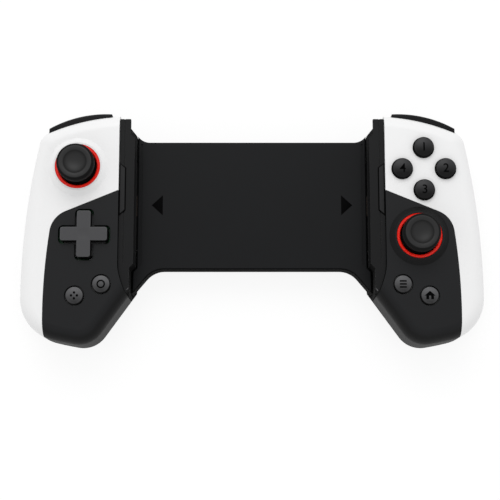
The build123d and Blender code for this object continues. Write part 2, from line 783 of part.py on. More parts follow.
def round_holes(places, radius):
    """Holes of push buttons through a face cover."""
    return [post(place, face_under - WALL, GRIP_FRONT + PROFILE_MARGIN, radius) for place in places]


white = face_shell - seam_region(SEAM / 2)
black = face_shell & seam_region(-SEAM / 2)
white = white + (cover_bosses(GRIP_SCREWS[2:]) & whole_grip) - cover_bores(GRIP_SCREWS[2:])
black = black + (cover_bosses(GRIP_SCREWS[:2]) & whole_grip) - cover_bores(GRIP_SCREWS[:2])
black = black - round_holes(SMALL_BUTTONS, SMALL_RADIUS + SMALL_CLEARANCE)
dpad_well = Pos(DPAD[0], DPAD[1], 0) * slab(dpad_plan(DPAD_CLEARANCE), face_under - WALL, DPAD_TOP)
socket_hole = socket_bore(SOCKET_GAP, 3 * WALL)
action_holes = round_holes(action_places(), ACTION_RADIUS + ACTION_CLEARANCE)
save("face_white_left", on_grip(stick_opening(white, STICKS["left"]), "left"))
save("face_white_right", on_grip(white - action_holes, "right"))
save("face_black_left", on_grip(black - dpad_well, "left"))
save("face_black_right", on_grip(stick_opening(black, STICKS["right"]) - socket_hole, "right"))


def rear_cover(side):
    """Rear cover with the posts that carry the boards, the slider and the screws."""
    cover = rear_shell
    posts = [post(place, 0, BOARD_BOTTOM, BOSS_RADIUS) for place in GRIP_SCREWS]
    posts += [post(place, 0, PARTING, POST_FOOT) for place in GRIP_SCREWS]
    slider_low = lower_slider if side == "right" else upper_slider
    posts += [post(place, 0, slider_low, BOSS_RADIUS) for place in TONGUE_SCREWS]
    stick = STICKS[side]
    reach = (STICK_BOARD_HALF[0] - POST_INSET, STICK_BOARD_HALF[1] - POST_INSET)
    for x in (-reach[0], reach[0]):
        for y in (-reach[1], reach[1]):
            corner = (stick[0] + x, stick[1] + y)
            posts.append(post(corner, 0, STICK_BOARD_TOP - BOARD_THICK, STICK_POST))
    if side == "left":
        rib_y = (BATTERY[2] + WALL, BATTERY[3] - WALL)
        for x in (BATTERY[0] + 2 * WALL, BATTERY[1] - 3 * WALL):
            posts.append(box_between((x, x + WALL / 2), rib_y, (0, BATTERY_HEIGHTS[0])))
    else:
        rib_low = SOCKET[1] - SOCKET_HIGH / 2 - BOARD_THICK
        rib_y = (SOCKET_BOARD_Y[0] + WALL, SOCKET_BOARD_Y[1] - WALL / 2)
        for x in (SOCKET[0] - SOCKET_WIDE / 2, SOCKET[0] + SOCKET_WIDE / 2 - WALL / 2):
            posts.append(box_between((x, x + WALL / 2), rib_y, (0, rib_low)))
    cover = cover + ((Part() + posts) & whole_grip)
    for place in GRIP_SCREWS:
        cover = cover - post(place, -WALL, GRIP_SCREW_SEAT, SCREW_HEAD + SEAM)
        cover = cover - post(place, -WALL, BOARD_BOTTOM, SCREW_SHANK + PILOT_CLEARANCE)
    pilot_low = lower_slider - TONGUE_SCREW_DEPTH
    for place in TONGUE_SCREWS:
        cover = cover - post(place, pilot_low, BOARD_BOTTOM, SCREW_SHANK + PILOT_CLEARANCE)
    return on_grip(cover, side)


def cover_screws(side):
    """Screws of one grip: four through the rear cover and two in the slider's tongue."""
    screws = [screw(place, GRIP_SCREW_SEAT, GRIP_SCREW_TIP, True) for place in GRIP_SCREWS]
    tongue_low = lower_slider if side == "right" else upper_slider
    seat = tongue_low + SLIDER_THICK
    tip = lower_slider - TONGUE_SCREW_DEPTH + SEAM
    screws += [screw(place, seat, tip, False) for place in TONGUE_SCREWS]
    return on_grip(Compound(screws), side)


for side in ("left", "right"):
    save(f"rear_cover_{side}", rear_cover(side))
    save(f"cover_screws_{side}", cover_screws(side))


# Jaws

across = (WAIST[0], FACE_INNER + WALL)
jaw = whole_grip & slab(jaw_side(-SEAM / 2), JAW_BOTTOM, LIP_TOP)
jaw = jaw - box_between(across, (JAW_TOP, high), full_depth)
channel_y = (JAW_TAIL_TOP, high)
jaw = jaw - box_between((WAIST[0], JAW_WALL), channel_y, (ledge_top, LIP_TOP - LIP_THICK))
top_cut = Polyline(
    (WAIST[0], LIP_STEP_TOP),
    (0, LIP_STEP_TOP),
    (LIP_SET_BACK, LIP_STEP_TOP + LIP_SET_BACK),
    (LIP_SET_BACK, high),
    (WAIST[0], high),
    close=True,
)
tail_cut = Polyline(
    (WAIST[0], JAW_TAIL_TOP),
    (0, JAW_TAIL_TOP),
    (LIP_SET_BACK, JAW_TAIL_TOP - LIP_SET_BACK),
    (LIP_SET_BACK, deep),
    (WAIST[0], deep),
    close=True,
)
jaw = jaw - slab(make_face(top_cut), ledge_top, full_depth[1])
jaw = jaw - slab(make_face(tail_cut), *full_depth)
jaw = jaw - box_between(across, slot_span, (slot_floor, ledge_bottom))
jaw = jaw - box_between(LIP_GROOVE, channel_y, (LIP_TOP - LIP_GROOVE_DEPTH, full_depth[1]))

pad_heights = (ledge_top + PAD_MARGIN, LIP_TOP - LIP_THICK - PAD_MARGIN)
pad = box_between((JAW_WALL - PAD_THICK, JAW_WALL), PAD_SPAN, pad_heights)
rib_step = (PAD_SPAN[1] - PAD_SPAN[0]) / PAD_RIBS
for rib in range(PAD_RIBS):
    y = PAD_SPAN[0] + (rib + 0.5) * rib_step
    x = (JAW_WALL - PAD_THICK, JAW_WALL - PAD_THICK / 2)
    pad = pad - box_between(x, (y - rib_step / 5, y + rib_step / 5), pad_heights)

clip_outline = Polyline(
    (CLIP_X[1], CLIP_OUTER[0]),
    (CLIP_X[1], CLIP_OUTER[1]),
    (CLIP_X[0], CLIP_INNER[1]),
    (CLIP_X[0], CLIP_INNER[0]),
    close=True,
)
clip = slab(make_face(clip_outline), LIP_TOP, LIP_TOP + CLIP_HEIGHT)
for side in ("left", "right"):
    save(f"jaw_{side}", on_grip(jaw, side))
    save(f"jaw_pad_{side}", on_grip(pad, side))
    save(f"jaw_clip_{side}", on_grip(clip, side))


# Thumb sticks, drawn with the pivot above the origin


def stick_housing():
    """Square box of a stick module, with its two position sensors and the click switch."""
    floor = STICK_BOARD_TOP + HOUSING_WALL
    half = HOUSING_HALF
    inner = half - HOUSING_WALL
    square = (-half, half)
    body = box_between(square, square, (STICK_BOARD_TOP, HOUSING_TOP))
    body = body - box_between((-inner, inner), (-inner, inner), (floor, HOUSING_TOP))
    sensor_z = (SENSOR_BOTTOM, HOUSING_TOP - SEAM)
    sensor = box_between((-half - SENSOR_THICK, -half), (-SENSOR_HALF, SENSOR_HALF), sensor_z)
    body = body + sensor + Rot(0, 0, 90) * sensor
    bore = axle((-half + SEAM, half - SEAM), 0, PIVOT, AXLE_RADIUS + RUNNING)
    body = body - bore - Rot(0, 0, 90) * bore
    switch_top = LEVER_BOTTOM - STICK_CLICK - SWITCH_GAP
    return body + post((0, 0), floor, switch_top, SWITCH_RADIUS)


def stick_yoke():
    """Inner frame of the gimbal, which tilts about X and carries the pivot block."""
    x, y = YOKE_HALF
    z = (PIVOT - YOKE_HEIGHT / 2, PIVOT + YOKE_HEIGHT / 2)
    frame = box_between((-x, x), (-y, y), z)
    frame = frame - box_between((YOKE_RAIL - x, x - YOKE_RAIL), (YOKE_RAIL - y, y - YOKE_RAIL), z)
    reach = HOUSING_HALF - 2 * SEAM
    frame = frame + axle((YOKE_RAIL - x, -reach)[::-1], 0, PIVOT, AXLE_RADIUS)
    frame = frame + axle((x - YOKE_RAIL, reach), 0, PIVOT, AXLE_RADIUS)
    return frame - Rot(0, 0, 90) * axle((-y, y), 0, PIVOT, BLOCK_PIN + RUNNING)


def stick_rocker():
    """Arched outer rocker of the gimbal, which tilts about Y and is slotted for the lever."""
    ring = Rot(0, 90, 0) * Cylinder(ROCKER_OUTER, 2 * ROCKER_HALF)
    ring = ring - Rot(0, 90, 0) * Cylinder(ROCKER_INNER, 3 * ROCKER_HALF)
    wide = (-ROCKER_HALF, ROCKER_HALF)
    arch = ring & box_between(wide, (-ROCKER_OUTER, ROCKER_OUTER), (-AXLE_RADIUS, ROCKER_OUTER))
    swing = ROCKER_OUTER * math.sin(math.radians(STICK_TILT)) + LEVER_RADIUS
    slot_y = (-swing - GIMBAL_GAP, swing + GIMBAL_GAP)
    slot_x = (-LEVER_RADIUS - GIMBAL_GAP, LEVER_RADIUS + GIMBAL_GAP)
    arch = arch - box_between(slot_x, slot_y, (0, ROCKER_OUTER))
    reach = HOUSING_HALF - 2 * SEAM
    for ends in ((-reach, -ROCKER_INNER - GIMBAL_GAP), (ROCKER_INNER + GIMBAL_GAP, reach)):
        arch = arch + Rot(0, 0, 90) * axle(ends, 0, 0, AXLE_RADIUS)
    return Pos(0, 0, PIVOT) * arch


def stick_pivot():
    """Pivot block in which the lever slides, hinged in the yoke about Y."""
    block = post((0, 0), PIVOT - BLOCK_HALF, PIVOT + BLOCK_HALF, BLOCK_RADIUS)
    pin = YOKE_HALF[1] - SEAM
    block = block + Rot(0, 0, 90) * axle((-pin, pin), 0, PIVOT, BLOCK_PIN)
    return block - post((0, 0), 0, CAP_TOP, LEVER_RADIUS + RUNNING)


def stick_cap():
    """Thumb cap: dished head, thin neck and a dome skirt that closes the collar's hole."""
    inner = DOME_RADIUS - DOME_THICK
    edge = math.radians(DOME_ANGLE)
    bore = LEVER_RADIUS + PILOT_CLEARANCE

    def on_sphere(radius, angle):
        return (radius * math.sin(angle), PIVOT + radius * math.cos(angle))

    bore_top = CAP_TOP - DISH_DEPTH - DISH_FLOOR
    start = math.asin(bore / inner)
    root = math.asin(NECK_RADIUS / DOME_RADIUS)
    slant = CAP_ROUND * (1 - math.sqrt(0.5))
    rim = CAP_RADIUS - CAP_ROUND
    dish_middle = bulge(DISH_RADIUS, CAP_TOP, -DISH_DEPTH)
    profile = make_face(
        [
            Polyline((0, CAP_TOP - DISH_DEPTH), (0, bore_top), (bore, bore_top), on_sphere(inner, start)),
            ThreePointArc(on_sphere(inner, start), on_sphere(inner, edge / 2), on_sphere(inner, edge)),
            Line(on_sphere(inner, edge), on_sphere(DOME_RADIUS, edge)),
            ThreePointArc(
                on_sphere(DOME_RADIUS, edge),
                on_sphere(DOME_RADIUS, (edge + root) / 2),
                on_sphere(DOME_RADIUS, root),
            ),
            Polyline(on_sphere(DOME_RADIUS, root), (NECK_RADIUS, CAP_UNDER), (rim, CAP_UNDER)),
            ThreePointArc(
                (rim, CAP_UNDER),
                (CAP_RADIUS - slant, CAP_UNDER + slant),
                (CAP_RADIUS, CAP_UNDER + CAP_ROUND),
            ),
            Line((CAP_RADIUS, CAP_UNDER + CAP_ROUND), (CAP_RADIUS, CAP_TOP - CAP_ROUND)),
            ThreePointArc(
                (CAP_RADIUS, CAP_TOP - CAP_ROUND),
                (CAP_RADIUS - slant, CAP_TOP - slant),
                (rim, CAP_TOP),
            ),
            Line((rim, CAP_TOP), (DISH_RADIUS, CAP_TOP)),
            ThreePointArc((DISH_RADIUS, CAP_TOP), dish_middle, (0, CAP_TOP - DISH_DEPTH)),
        ]
    )
    return revolve(Plane.XZ * profile, Axis.Z)


def stick_ring():
    """Coloured ring round a stick, with a flange below the cover and a bevelled mouth."""
    flange = ring_outer + RING_FLANGE
    return turned(
        (ring_inner, ring_bottom),
        (flange, ring_bottom),
        (flange, flange_top),
        (ring_outer, flange_top),
        (ring_outer, RING_TOP - RING_BEVEL),
        (ring_outer - RING_BEVEL, RING_TOP),
        (ring_inner + RING_BEVEL, RING_TOP),
        (ring_inner, RING_TOP - 2 * RING_BEVEL),
    )


lever_top = CAP_TOP - DISH_DEPTH - DISH_FLOOR - SEAM / 2
stick_pieces = {
    "stick_housing": stick_housing(),
    "stick_ring": stick_ring(),
    "stick_yoke": stick_yoke(),
    "stick_rocker": stick_rocker(),
    "stick_pivot": stick_pivot(),
    "stick_lever": post((0, 0), LEVER_BOTTOM, lever_top, LEVER_RADIUS),
    "stick_cap": stick_cap(),
}
for side, (x, y) in STICKS.items():
    for name, piece in stick_pieces.items():
        save(f"{name}_{side}", on_grip(Pos(x, y, 0) * piece, side))


# Direction pad

pad_flange_top = DPAD_FLANGE_BOTTOM + DPAD_FLANGE_THICK
cross = slab(dpad_plan(0), DPAD_FLANGE_BOTTOM, DPAD_TOP)
cross = fillet(cross.edges().group_by(Axis.Z)[-1], DPAD_EDGE)
cross = cross + post((0, 0), DPAD_FLANGE_BOTTOM, pad_flange_top, DPAD_FLANGE)
ball = (DPAD_DISH_RADIUS**2 + DPAD_DISH**2) / (2 * DPAD_DISH)
cross = cross - Pos(0, 0, DPAD_TOP - DPAD_DISH + ball) * Sphere(ball)
seat_top = DPAD_FLANGE_BOTTOM - DPAD_SEAT_GAP
seat_bottom = board_top + MAT_SHEET + DPAD_SEAT_GAP
dpad_place = Pos(DPAD[0], DPAD[1], 0)
save("dpad", on_grip(dpad_place * cross, "left"))
save("dpad_seat", on_grip(post(DPAD, seat_bottom, seat_top, DPAD_SEAT_RADIUS), "left"))


# Round buttons and switch mats

action_buttons = ("button_1", "button_2", "button_3", "button_4")
for name, place in zip(action_buttons, action_places()):
    save(name, on_grip(round_button(place, ACTION_RADIUS, ACTION_EDGE, ACTION_DOME), "right"))
small_names = {"left": ("ring_button", "dots_button"), "right": ("menu_button", "home_button")}
for side, names in small_names.items():
    for name, place in zip(names, SMALL_BUTTONS):
        save(name, on_grip(round_button(place, SMALL_RADIUS, SMALL_EDGE, SMALL_DOME), side))

button_bottom = flange_top - FLANGE_THICK
small_dome_top = button_bottom - SMALL_TRAVEL - MAT_GAP
small_pads = [mat_pad(place, SMALL_RADIUS, MAT_DOME_RADIUS, small_dome_top) for place in SMALL_BUTTONS]
small_strip = strip(*SMALL_BUTTONS, MAT_STRIP, board_top, MAT_SHEET)
small_mat = Part() + small_pads + small_strip

dpad_mat = post(DPAD, board_top, board_top + MAT_SHEET, DPAD_FLANGE)
for quarter in range(4):
    turn = math.radians(90 * quarter)
    dome_x = DPAD[0] + DPAD_DOME_REACH * math.cos(turn)
    dome_y = DPAD[1] + DPAD_DOME_REACH * math.sin(turn)
    dpad_mat = dpad_mat + mat_pad((dome_x, dome_y), DPAD_DOME_BASE, DPAD_DOME_BASE, DPAD_DOME_TOP)
dpad_mat = dpad_mat + strip(DPAD, SMALL_BUTTONS[0], MAT_STRIP, board_top, MAT_SHEET)
save("switch_mat_left", on_grip(dpad_mat + small_mat, "left"))

action_dome_top = button_bottom - ACTION_TRAVEL - MAT_GAP
corners = action_places()
action_mat = Part()
for start, end in zip(corners, corners[1:] + corners[:1]):
    action_mat = action_mat + mat_pad(start, ACTION_RADIUS, MAT_DOME_RADIUS, action_dome_top)
    action_mat = action_mat + strip(start, end, MAT_STRIP, board_top, MAT_SHEET)
save("switch_mat_right", on_grip(Compound([*action_mat.solids(), *small_mat.solids()]), "right"))


# Circuit boards with their switches


def main_board(side):
    """Main board of one grip, cut out round the stick and holed for the screws."""
    outline = offset(grip_plan(), -BOARD_INSET)
    board = slab(outline, BOARD_BOTTOM, board_top)
    board = board & box_between((BOARD_INNER, full_width[1]), (deep, BOARD_TOP_EDGE), full_depth)
    board = board - post(STICKS[side], BOARD_BOTTOM, board_top, DOME_RADIUS + DOME_THICK)
    swept = bumper_plan(BUMPER_TRAVEL + BUMPER_GAP, BUMPER_GAP)
    board = board - slab(swept, BOARD_BOTTOM, board_top)
    for place in GRIP_SCREWS:
        board = board - post(place, BOARD_BOTTOM, board_top, SCREW_SHANK + SEAM)
    return board


def circuit_board(side):
    """All boards of one grip as one soldered assembly."""
    x, y = STICKS[side]
    half_x, half_y = STICK_BOARD_HALF
    stick_z = (STICK_BOARD_TOP - BOARD_THICK, STICK_BOARD_TOP)
    stick_board = box_between((x - half_x, x + half_x), (y - half_y, y + half_y), stick_z)
    switch_y = (BOARD_TOP_EDGE - SWITCH_LONG, BOARD_TOP_EDGE - WALL / 2)
    switch = box_between(PLUNGER, switch_y, (board_top, BUMPER_HEIGHTS[1] - WALL / 2))
    pieces = [main_board(side) + switch, stick_board]
    if side == "right":
        top = SOCKET[1] - SOCKET_HIGH / 2
        wide = (SOCKET[0] - SOCKET_BOARD_HALF, SOCKET[0] + SOCKET_BOARD_HALF)
        pieces.append(box_between(wide, SOCKET_BOARD_Y, (top - BOARD_THICK, top)))
    solids = [solid for piece in pieces for solid in piece.solids()]
    return on_grip(Compound(solids), side)


for side in ("left", "right"):
    save(f"circuit_board_{side}", circuit_board(side))
battery = box_between(BATTERY[:2], BATTERY[2:], BATTERY_HEIGHTS)
battery = fillet(battery.edges().filter_by(Axis.Z), WALL)
save("battery", on_grip(battery, "left"))
socket = socket_bore(0, SOCKET_LONG) - socket_bore(-SOCKET_SHEET, SOCKET_LONG - WALL / 2)
save("usb_socket", on_grip(socket, "right"))


# Bumpers and triggers

bumper = slab(bumper_plan(0, 0), *BUMPER_HEIGHTS)
long_edges = bumper.edges().filter_by(lambda edge: edge.length > BUMPER_DEPTH * 2)
bumper = fillet(long_edges.sort_by(Axis.Y)[-2:], BUMPER_ROUND)
plunger_back = BUMPER_OUTER[1][1] - BUMPER_DEPTH - PLUNGER_REACH
plunger_y = (plunger_back, plunger_back + PLUNGER_REACH + WALL)
plunger_z = (board_top + BUMPER_GAP, BUMPER_HEIGHTS[1] - WALL / 2)
bumper = bumper + box_between(PLUNGER, plunger_y, plunger_z)

pivot_y, pivot_z = TRIGGER_PIVOT
hub_top = pivot_z + TRIGGER_HUB
trigger_side = make_face(
    [
        Line((pivot_y, hub_top), (TRIGGER_SHOULDER, hub_top)),
        ThreePointArc((TRIGGER_SHOULDER, hub_top), TRIGGER_NOSE, TRIGGER_TIP[0]),
        ThreePointArc(*TRIGGER_TIP),
        ThreePointArc(TRIGGER_TIP[2], TRIGGER_BACK, (pivot_y - TRIGGER_HUB, pivot_z)),
        ThreePointArc(
            (pivot_y - TRIGGER_HUB, pivot_z),
            (pivot_y - TRIGGER_HUB * math.sqrt(0.5), pivot_z + TRIGGER_HUB * math.sqrt(0.5)),
            (pivot_y, hub_top),
        ),
    ]
)
trigger_x = (BAY[0] + TRIGGER_GAP, BAY[1] - TRIGGER_GAP)
trigger = Pos(trigger_x[0], 0, 0) * extrude(Plane.YZ * trigger_side, trigger_x[1] - trigger_x[0])
trigger = trigger & slab(offset(grip_plan(), TRIGGER_PROUD), *full_depth)
trigger = trigger - axle(trigger_x, *TRIGGER_PIVOT, PIN_RADIUS + RUNNING)
coil_x = (TORSION_MIDDLE - TORSION_LONG / 2, TORSION_MIDDLE + TORSION_LONG / 2)
notch_x = (coil_x[0] - TRIGGER_GAP, coil_x[1] + TRIGGER_GAP)
trigger = trigger - axle(notch_x, *TRIGGER_PIVOT, TRIGGER_HUB + TRIGGER_GAP)

coil = axle(coil_x, *TRIGGER_PIVOT, TORSION_OUTER) - axle(coil_x, *TRIGGER_PIVOT, TORSION_INNER)
leg_y = (pivot_y - TORSION_OUTER, pivot_y - TORSION_INNER)
leg_x = (coil_x[0], coil_x[0] + TORSION_OUTER - TORSION_INNER)
coil = coil + box_between(leg_x, leg_y, (pivot_z, BAY_TOP - SEAM / 2))

for side in ("left", "right"):
    save(f"bumper_{side}", on_grip(bumper, side))
    save(f"trigger_{side}", on_grip(trigger, side))
    save(f"trigger_pin_{side}", on_grip(pin_bore(PIN_RADIUS), side))
    save(f"trigger_spring_{side}", on_grip(coil, side))
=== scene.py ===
import math

import bmesh
import bpy
from mathutils import Matrix, Vector
from mathutils.bvhtree import BVHTree


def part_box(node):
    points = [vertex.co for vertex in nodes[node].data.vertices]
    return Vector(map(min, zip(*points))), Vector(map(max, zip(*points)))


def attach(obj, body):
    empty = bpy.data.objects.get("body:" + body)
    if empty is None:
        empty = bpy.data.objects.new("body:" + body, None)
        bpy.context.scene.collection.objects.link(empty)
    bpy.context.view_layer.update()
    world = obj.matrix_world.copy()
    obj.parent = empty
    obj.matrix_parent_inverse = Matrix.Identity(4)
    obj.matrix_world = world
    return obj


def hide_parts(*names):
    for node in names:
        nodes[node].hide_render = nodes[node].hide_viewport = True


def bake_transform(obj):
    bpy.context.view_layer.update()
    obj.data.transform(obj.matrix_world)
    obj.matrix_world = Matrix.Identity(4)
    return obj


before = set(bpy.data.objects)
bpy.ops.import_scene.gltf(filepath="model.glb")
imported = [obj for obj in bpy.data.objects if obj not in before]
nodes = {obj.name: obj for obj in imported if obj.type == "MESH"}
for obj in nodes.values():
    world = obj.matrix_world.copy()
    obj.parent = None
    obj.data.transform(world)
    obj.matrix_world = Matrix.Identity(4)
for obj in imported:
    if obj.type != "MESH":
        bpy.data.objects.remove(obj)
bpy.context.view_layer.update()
SIDES = ("left", "right")
MM = 0.001


# Centre bridge
# The flat plate that the phone lies on, moulded in black as a front and a rear half.
# Six screws from behind hold the halves together round the sliders, the pinion and the springs.

EDGE_SPLIT = math.radians(32)
FLAT_ENOUGH = math.radians(0.4)
ROUNDED_FROM = math.radians(50)
WELD_REACH = 0.004 * MM
LARGE_FACES_FIRST = 100
# How far a normal leans to the far side, for painted highlights on slopes that face the lamp.
LEAN_TOWARDS = -0.16
LEAN_AWAY = 0.2


def smooth_shading():
    """Node group: faces shade smoothly, except across an edge sharper than the split angle."""
    group = bpy.data.node_groups.new("smooth_faces", "GeometryNodeTree")
    group.interface.new_socket("Geometry", in_out="INPUT", socket_type="NodeSocketGeometry")
    group.interface.new_socket("Geometry", in_out="OUTPUT", socket_type="NodeSocketGeometry")
    make = group.nodes.new
    start = make("NodeGroupInput")
    end = make("NodeGroupOutput")
    faces = make("GeometryNodeSetShadeSmooth")
    edges = make("GeometryNodeSetShadeSmooth")
    edges.domain = "EDGE"
    edges.inputs["Shade Smooth"].default_value = False
    angle = make("GeometryNodeInputMeshEdgeAngle")
    sharp = make("FunctionNodeCompare")
    sharp.inputs["B"].default_value = EDGE_SPLIT
    group.links.new(start.outputs[0], faces.inputs["Geometry"])
    group.links.new(faces.outputs["Geometry"], edges.inputs["Geometry"])
    group.links.new(angle.outputs["Unsigned Angle"], sharp.inputs["A"])
    group.links.new(sharp.outputs["Result"], edges.inputs["Selection"])
    group.links.new(edges.outputs["Geometry"], end.inputs[0])
    return group


smooth_faces = smooth_shading()


def dress(material, *names, edge=0.0):
    """Give CAD nodes their finish, smooth shading and, where asked, softened edges."""
    for name in names:
        node = nodes[name]
        node.data.materials.clear()
        node.data.materials.append(material)
        weld = node.modifiers.new("weld", "WELD")
        weld.merge_threshold = WELD_REACH
        if edge:
            planes = node.modifiers.new("planes", "DECIMATE")
            planes.decimate_type = "DISSOLVE"
            planes.angle_limit = FLAT_ENOUGH
            bevel = node.modifiers.new("edge", "BEVEL")
            bevel.width = edge
            bevel.segments = 2
            bevel.limit_method = "ANGLE"
            bevel.angle_limit = ROUNDED_FROM
        smooth = node.modifiers.new("smooth", "NODES")
        smooth.node_group = smooth_faces
        level = node.modifiers.new("level", "WEIGHTED_NORMAL")
        level.weight = LARGE_FACES_FIRST
        level.keep_sharp = True


def sockets(group, in_out, colours=(), values=()):
    """Give a shader node group its named inputs or outputs, colours first."""
    for name in colours:
        group.interface.new_socket(name, in_out=in_out, socket_type="NodeSocketColor")
    for name in values:
        group.interface.new_socket(name, in_out=in_out, socket_type="NodeSocketFloat")


def maths(tree, operation, *fixed):
    """Add a math node with its fixed values; None leaves a socket free for a link."""
    node = tree.nodes.new("ShaderNodeMath")
    node.operation = operation
    for socket, value in zip(node.inputs, fixed):
        if value is not None:
            socket.default_value = value
    return node


def grain_group():
    """Node group: the fine grain of a moulded skin, with slow changes of colour and gloss."""
    group = bpy.data.node_groups.new("moulded_grain", "ShaderNodeTree")
    rates = ("Grains per metre", "Patches per metre")
    sockets(group, "INPUT", ("Colour",), ("Mottle", "Roughness", "Unevenness", *rates))
    sockets(group, "OUTPUT", ("Colour",), ("Roughness", "Height"))
    make = group.nodes.new
    link = group.links.new
    start = make("NodeGroupInput")
    end = make("NodeGroupOutput")
    place = make("ShaderNodeTexCoord")
    grain = make("ShaderNodeTexNoise")
    grain.inputs["Detail"].default_value = 3
    grain.inputs["Roughness"].default_value = 0.6
    patches = make("ShaderNodeTexNoise")
    patches.inputs["Detail"].default_value = 4
    for texture, rate in zip((grain, patches), rates):
        link(place.outputs["Object"], texture.inputs["Vector"])
        link(start.outputs[rate], texture.inputs["Scale"])
    swing = maths(group, "SUBTRACT", None, 0.5)
    link(patches.outputs["Fac"], swing.inputs[0])
    uneven = maths(group, "MULTIPLY_ADD")
    link(swing.outputs[0], uneven.inputs[0])
    link(start.outputs["Unevenness"], uneven.inputs[1])
    link(start.outputs["Roughness"], uneven.inputs[2])
    tone = maths(group, "MULTIPLY_ADD", None, None, 1.0)
    link(swing.outputs[0], tone.inputs[0])
    link(start.outputs["Mottle"], tone.inputs[1])
    tint = make("ShaderNodeVectorMath")
    tint.operation = "SCALE"
    link(start.outputs["Colour"], tint.inputs[0])
    link(tone.outputs[0], tint.inputs["Scale"])
    link(tint.outputs[0], end.inputs["Colour"])
    link(uneven.outputs[0], end.inputs["Roughness"])
    link(grain.outputs["Fac"], end.inputs["Height"])
    return group


moulded_grain = grain_group()


def slope_group():
    """Node group: masks from a piece's own normals.

    Top is its level faces, Edge the turn from them to its walls, and Lean its far side. They place
    painted shade and painted highlights.
    """
    group = bpy.data.node_groups.new("slope_mask", "ShaderNodeTree")
    sockets(group, "INPUT", values=("Steep", "Level"))
    sockets(group, "OUTPUT", values=("Top", "Edge", "Lean"))
    make = group.nodes.new
    link = group.links.new
    start = make("NodeGroupInput")
    end = make("NodeGroupOutput")
    place = make("ShaderNodeTexCoord")
    parts = make("ShaderNodeSeparateXYZ")
    upright = maths(group, "ABSOLUTE")
    top = make("ShaderNodeMapRange")
    top.interpolation_type = "SMOOTHSTEP"
    lean = make("ShaderNodeMapRange")
    lean.inputs["From Min"].default_value = LEAN_TOWARDS
    lean.inputs["From Max"].default_value = LEAN_AWAY
    link(place.outputs["Normal"], parts.inputs["Vector"])
    link(parts.outputs["Z"], upright.inputs[0])
    link(upright.outputs[0], top.inputs["Value"])
    link(parts.outputs["Y"], lean.inputs["Value"])
    link(start.outputs["Steep"], top.inputs["From Min"])
    link(start.outputs["Level"], top.inputs["From Max"])
    rest = maths(group, "SUBTRACT", 1.0)
    link(top.outputs["Result"], rest.inputs[1])
    between = maths(group, "MULTIPLY")
    link(top.outputs["Result"], between.inputs[0])
    link(rest.outputs[0], between.inputs[1])
    band = maths(group, "MULTIPLY", None, 4.0)
    link(between.outputs[0], band.inputs[0])
    link(top.outputs["Result"], end.inputs["Top"])
    link(band.outputs[0], end.inputs["Edge"])
    link(lean.outputs["Result"], end.inputs["Lean"])
    return group


slope_mask = slope_group()


def moulded(
    name, colour, roughness, gloss=0.5, grains=2600, depth=0.01, mottle=0.12, uneven=0.1, patches=45
):
    """A moulded plastic or rubber finish; depth is its grain's, in millimetres."""
    material = bpy.data.materials.new(name)
    material.use_nodes = True
    tree = material.node_tree
    skin = tree.nodes["Principled BSDF"]
    skin.inputs["Specular IOR Level"].default_value = gloss
    grain = tree.nodes.new("ShaderNodeGroup")
    grain.node_tree = moulded_grain
    grain.inputs["Colour"].default_value = (*colour, 1)
    grain.inputs["Mottle"].default_value = mottle
    grain.inputs["Roughness"].default_value = roughness
    grain.inputs["Unevenness"].default_value = uneven
    grain.inputs["Grains per metre"].default_value = grains
    grain.inputs["Patches per metre"].default_value = patches
    bump = tree.nodes.new("ShaderNodeBump")
    bump.inputs["Distance"].default_value = depth * MM
    tree.links.new(grain.outputs["Colour"], skin.inputs["Base Color"])
    tree.links.new(grain.outputs["Roughness"], skin.inputs["Roughness"])
    tree.links.new(grain.outputs["Height"], bump.inputs["Height"])
    tree.links.new(bump.outputs["Normal"], skin.inputs["Normal"])
    return material


def slope_of(tree, steep, level):
    """Place the slope mask in a material: all wall below steep, all top above level."""
    slope = tree.nodes.new("ShaderNodeGroup")
    slope.node_tree = slope_mask
    slope.inputs["Steep"].default_value = steep
    slope.inputs["Level"].default_value = level
    return slope


def paint_shading_by_slope(material, colour, mask, steep, level):
    """Paint light and shade over a finish by slope: a second colour where a mask says, on its top,
    its edges or its lean.
    """
    tree = material.node_tree
    skin = tree.nodes["Principled BSDF"]
    slope = slope_of(tree, steep, level)
    blend = tree.nodes.new("ShaderNodeMix")
    blend.data_type = "RGBA"
    under = skin.inputs["Base Color"].links[0].from_socket
    tree.links.new(slope.outputs[mask], blend.inputs["Factor"])
    tree.links.new(under, blend.inputs["A"])
    blend.inputs["B"].default_value = (*colour, 1)
    tree.links.new(blend.outputs["Result"], skin.inputs["Base Color"])


def paint_wall_shade(material, steep, level, least, dullest=1.0):
    """Paint shade on a finish's walls, down to a least share of its colour, and dull them."""
    tree = material.node_tree
    skin = tree.nodes["Principled BSDF"]
    slope = slope_of(tree, steep, level)
    share = maths(tree, "MAXIMUM", None, least)
    shade = tree.nodes.new("ShaderNodeVectorMath")
    shade.operation = "SCALE"
    dull = tree.nodes.new("ShaderNodeMix")
    dull.inputs["A"].default_value = dullest
    under = skin.inputs["Base Color"].links[0].from_socket
    polish = skin.inputs["Roughness"].links[0].from_socket
    tree.links.new(slope.outputs["Top"], share.inputs[0])
    tree.links.new(under, shade.inputs[0])
    tree.links.new(share.outputs[0], shade.inputs["Scale"])
    tree.links.new(shade.outputs[0], skin.inputs["Base Color"])
    tree.links.new(slope.outputs["Top"], dull.inputs["Factor"])
    tree.links.new(polish, dull.inputs["B"])
    tree.links.new(dull.outputs["Result"], skin.inputs["Roughness"])


plate_black = moulded(
    "plate_black", (0.0055, 0.0059, 0.0067), 0.45, gloss=0.14, grains=3200, depth=0.006, mottle=0.3
)
# Painted shade: the plate's walls and rounded rims fall off nearly to black.
paint_wall_shade(plate_black, 0.75, 0.995, least=0.12)
dress(plate_black, "bridge_front", "bridge_rear", edge=0.25 * MM)


# Direction triangles
# Two thin black inlays, glued into the recesses of the front plate and pointing to the grips.

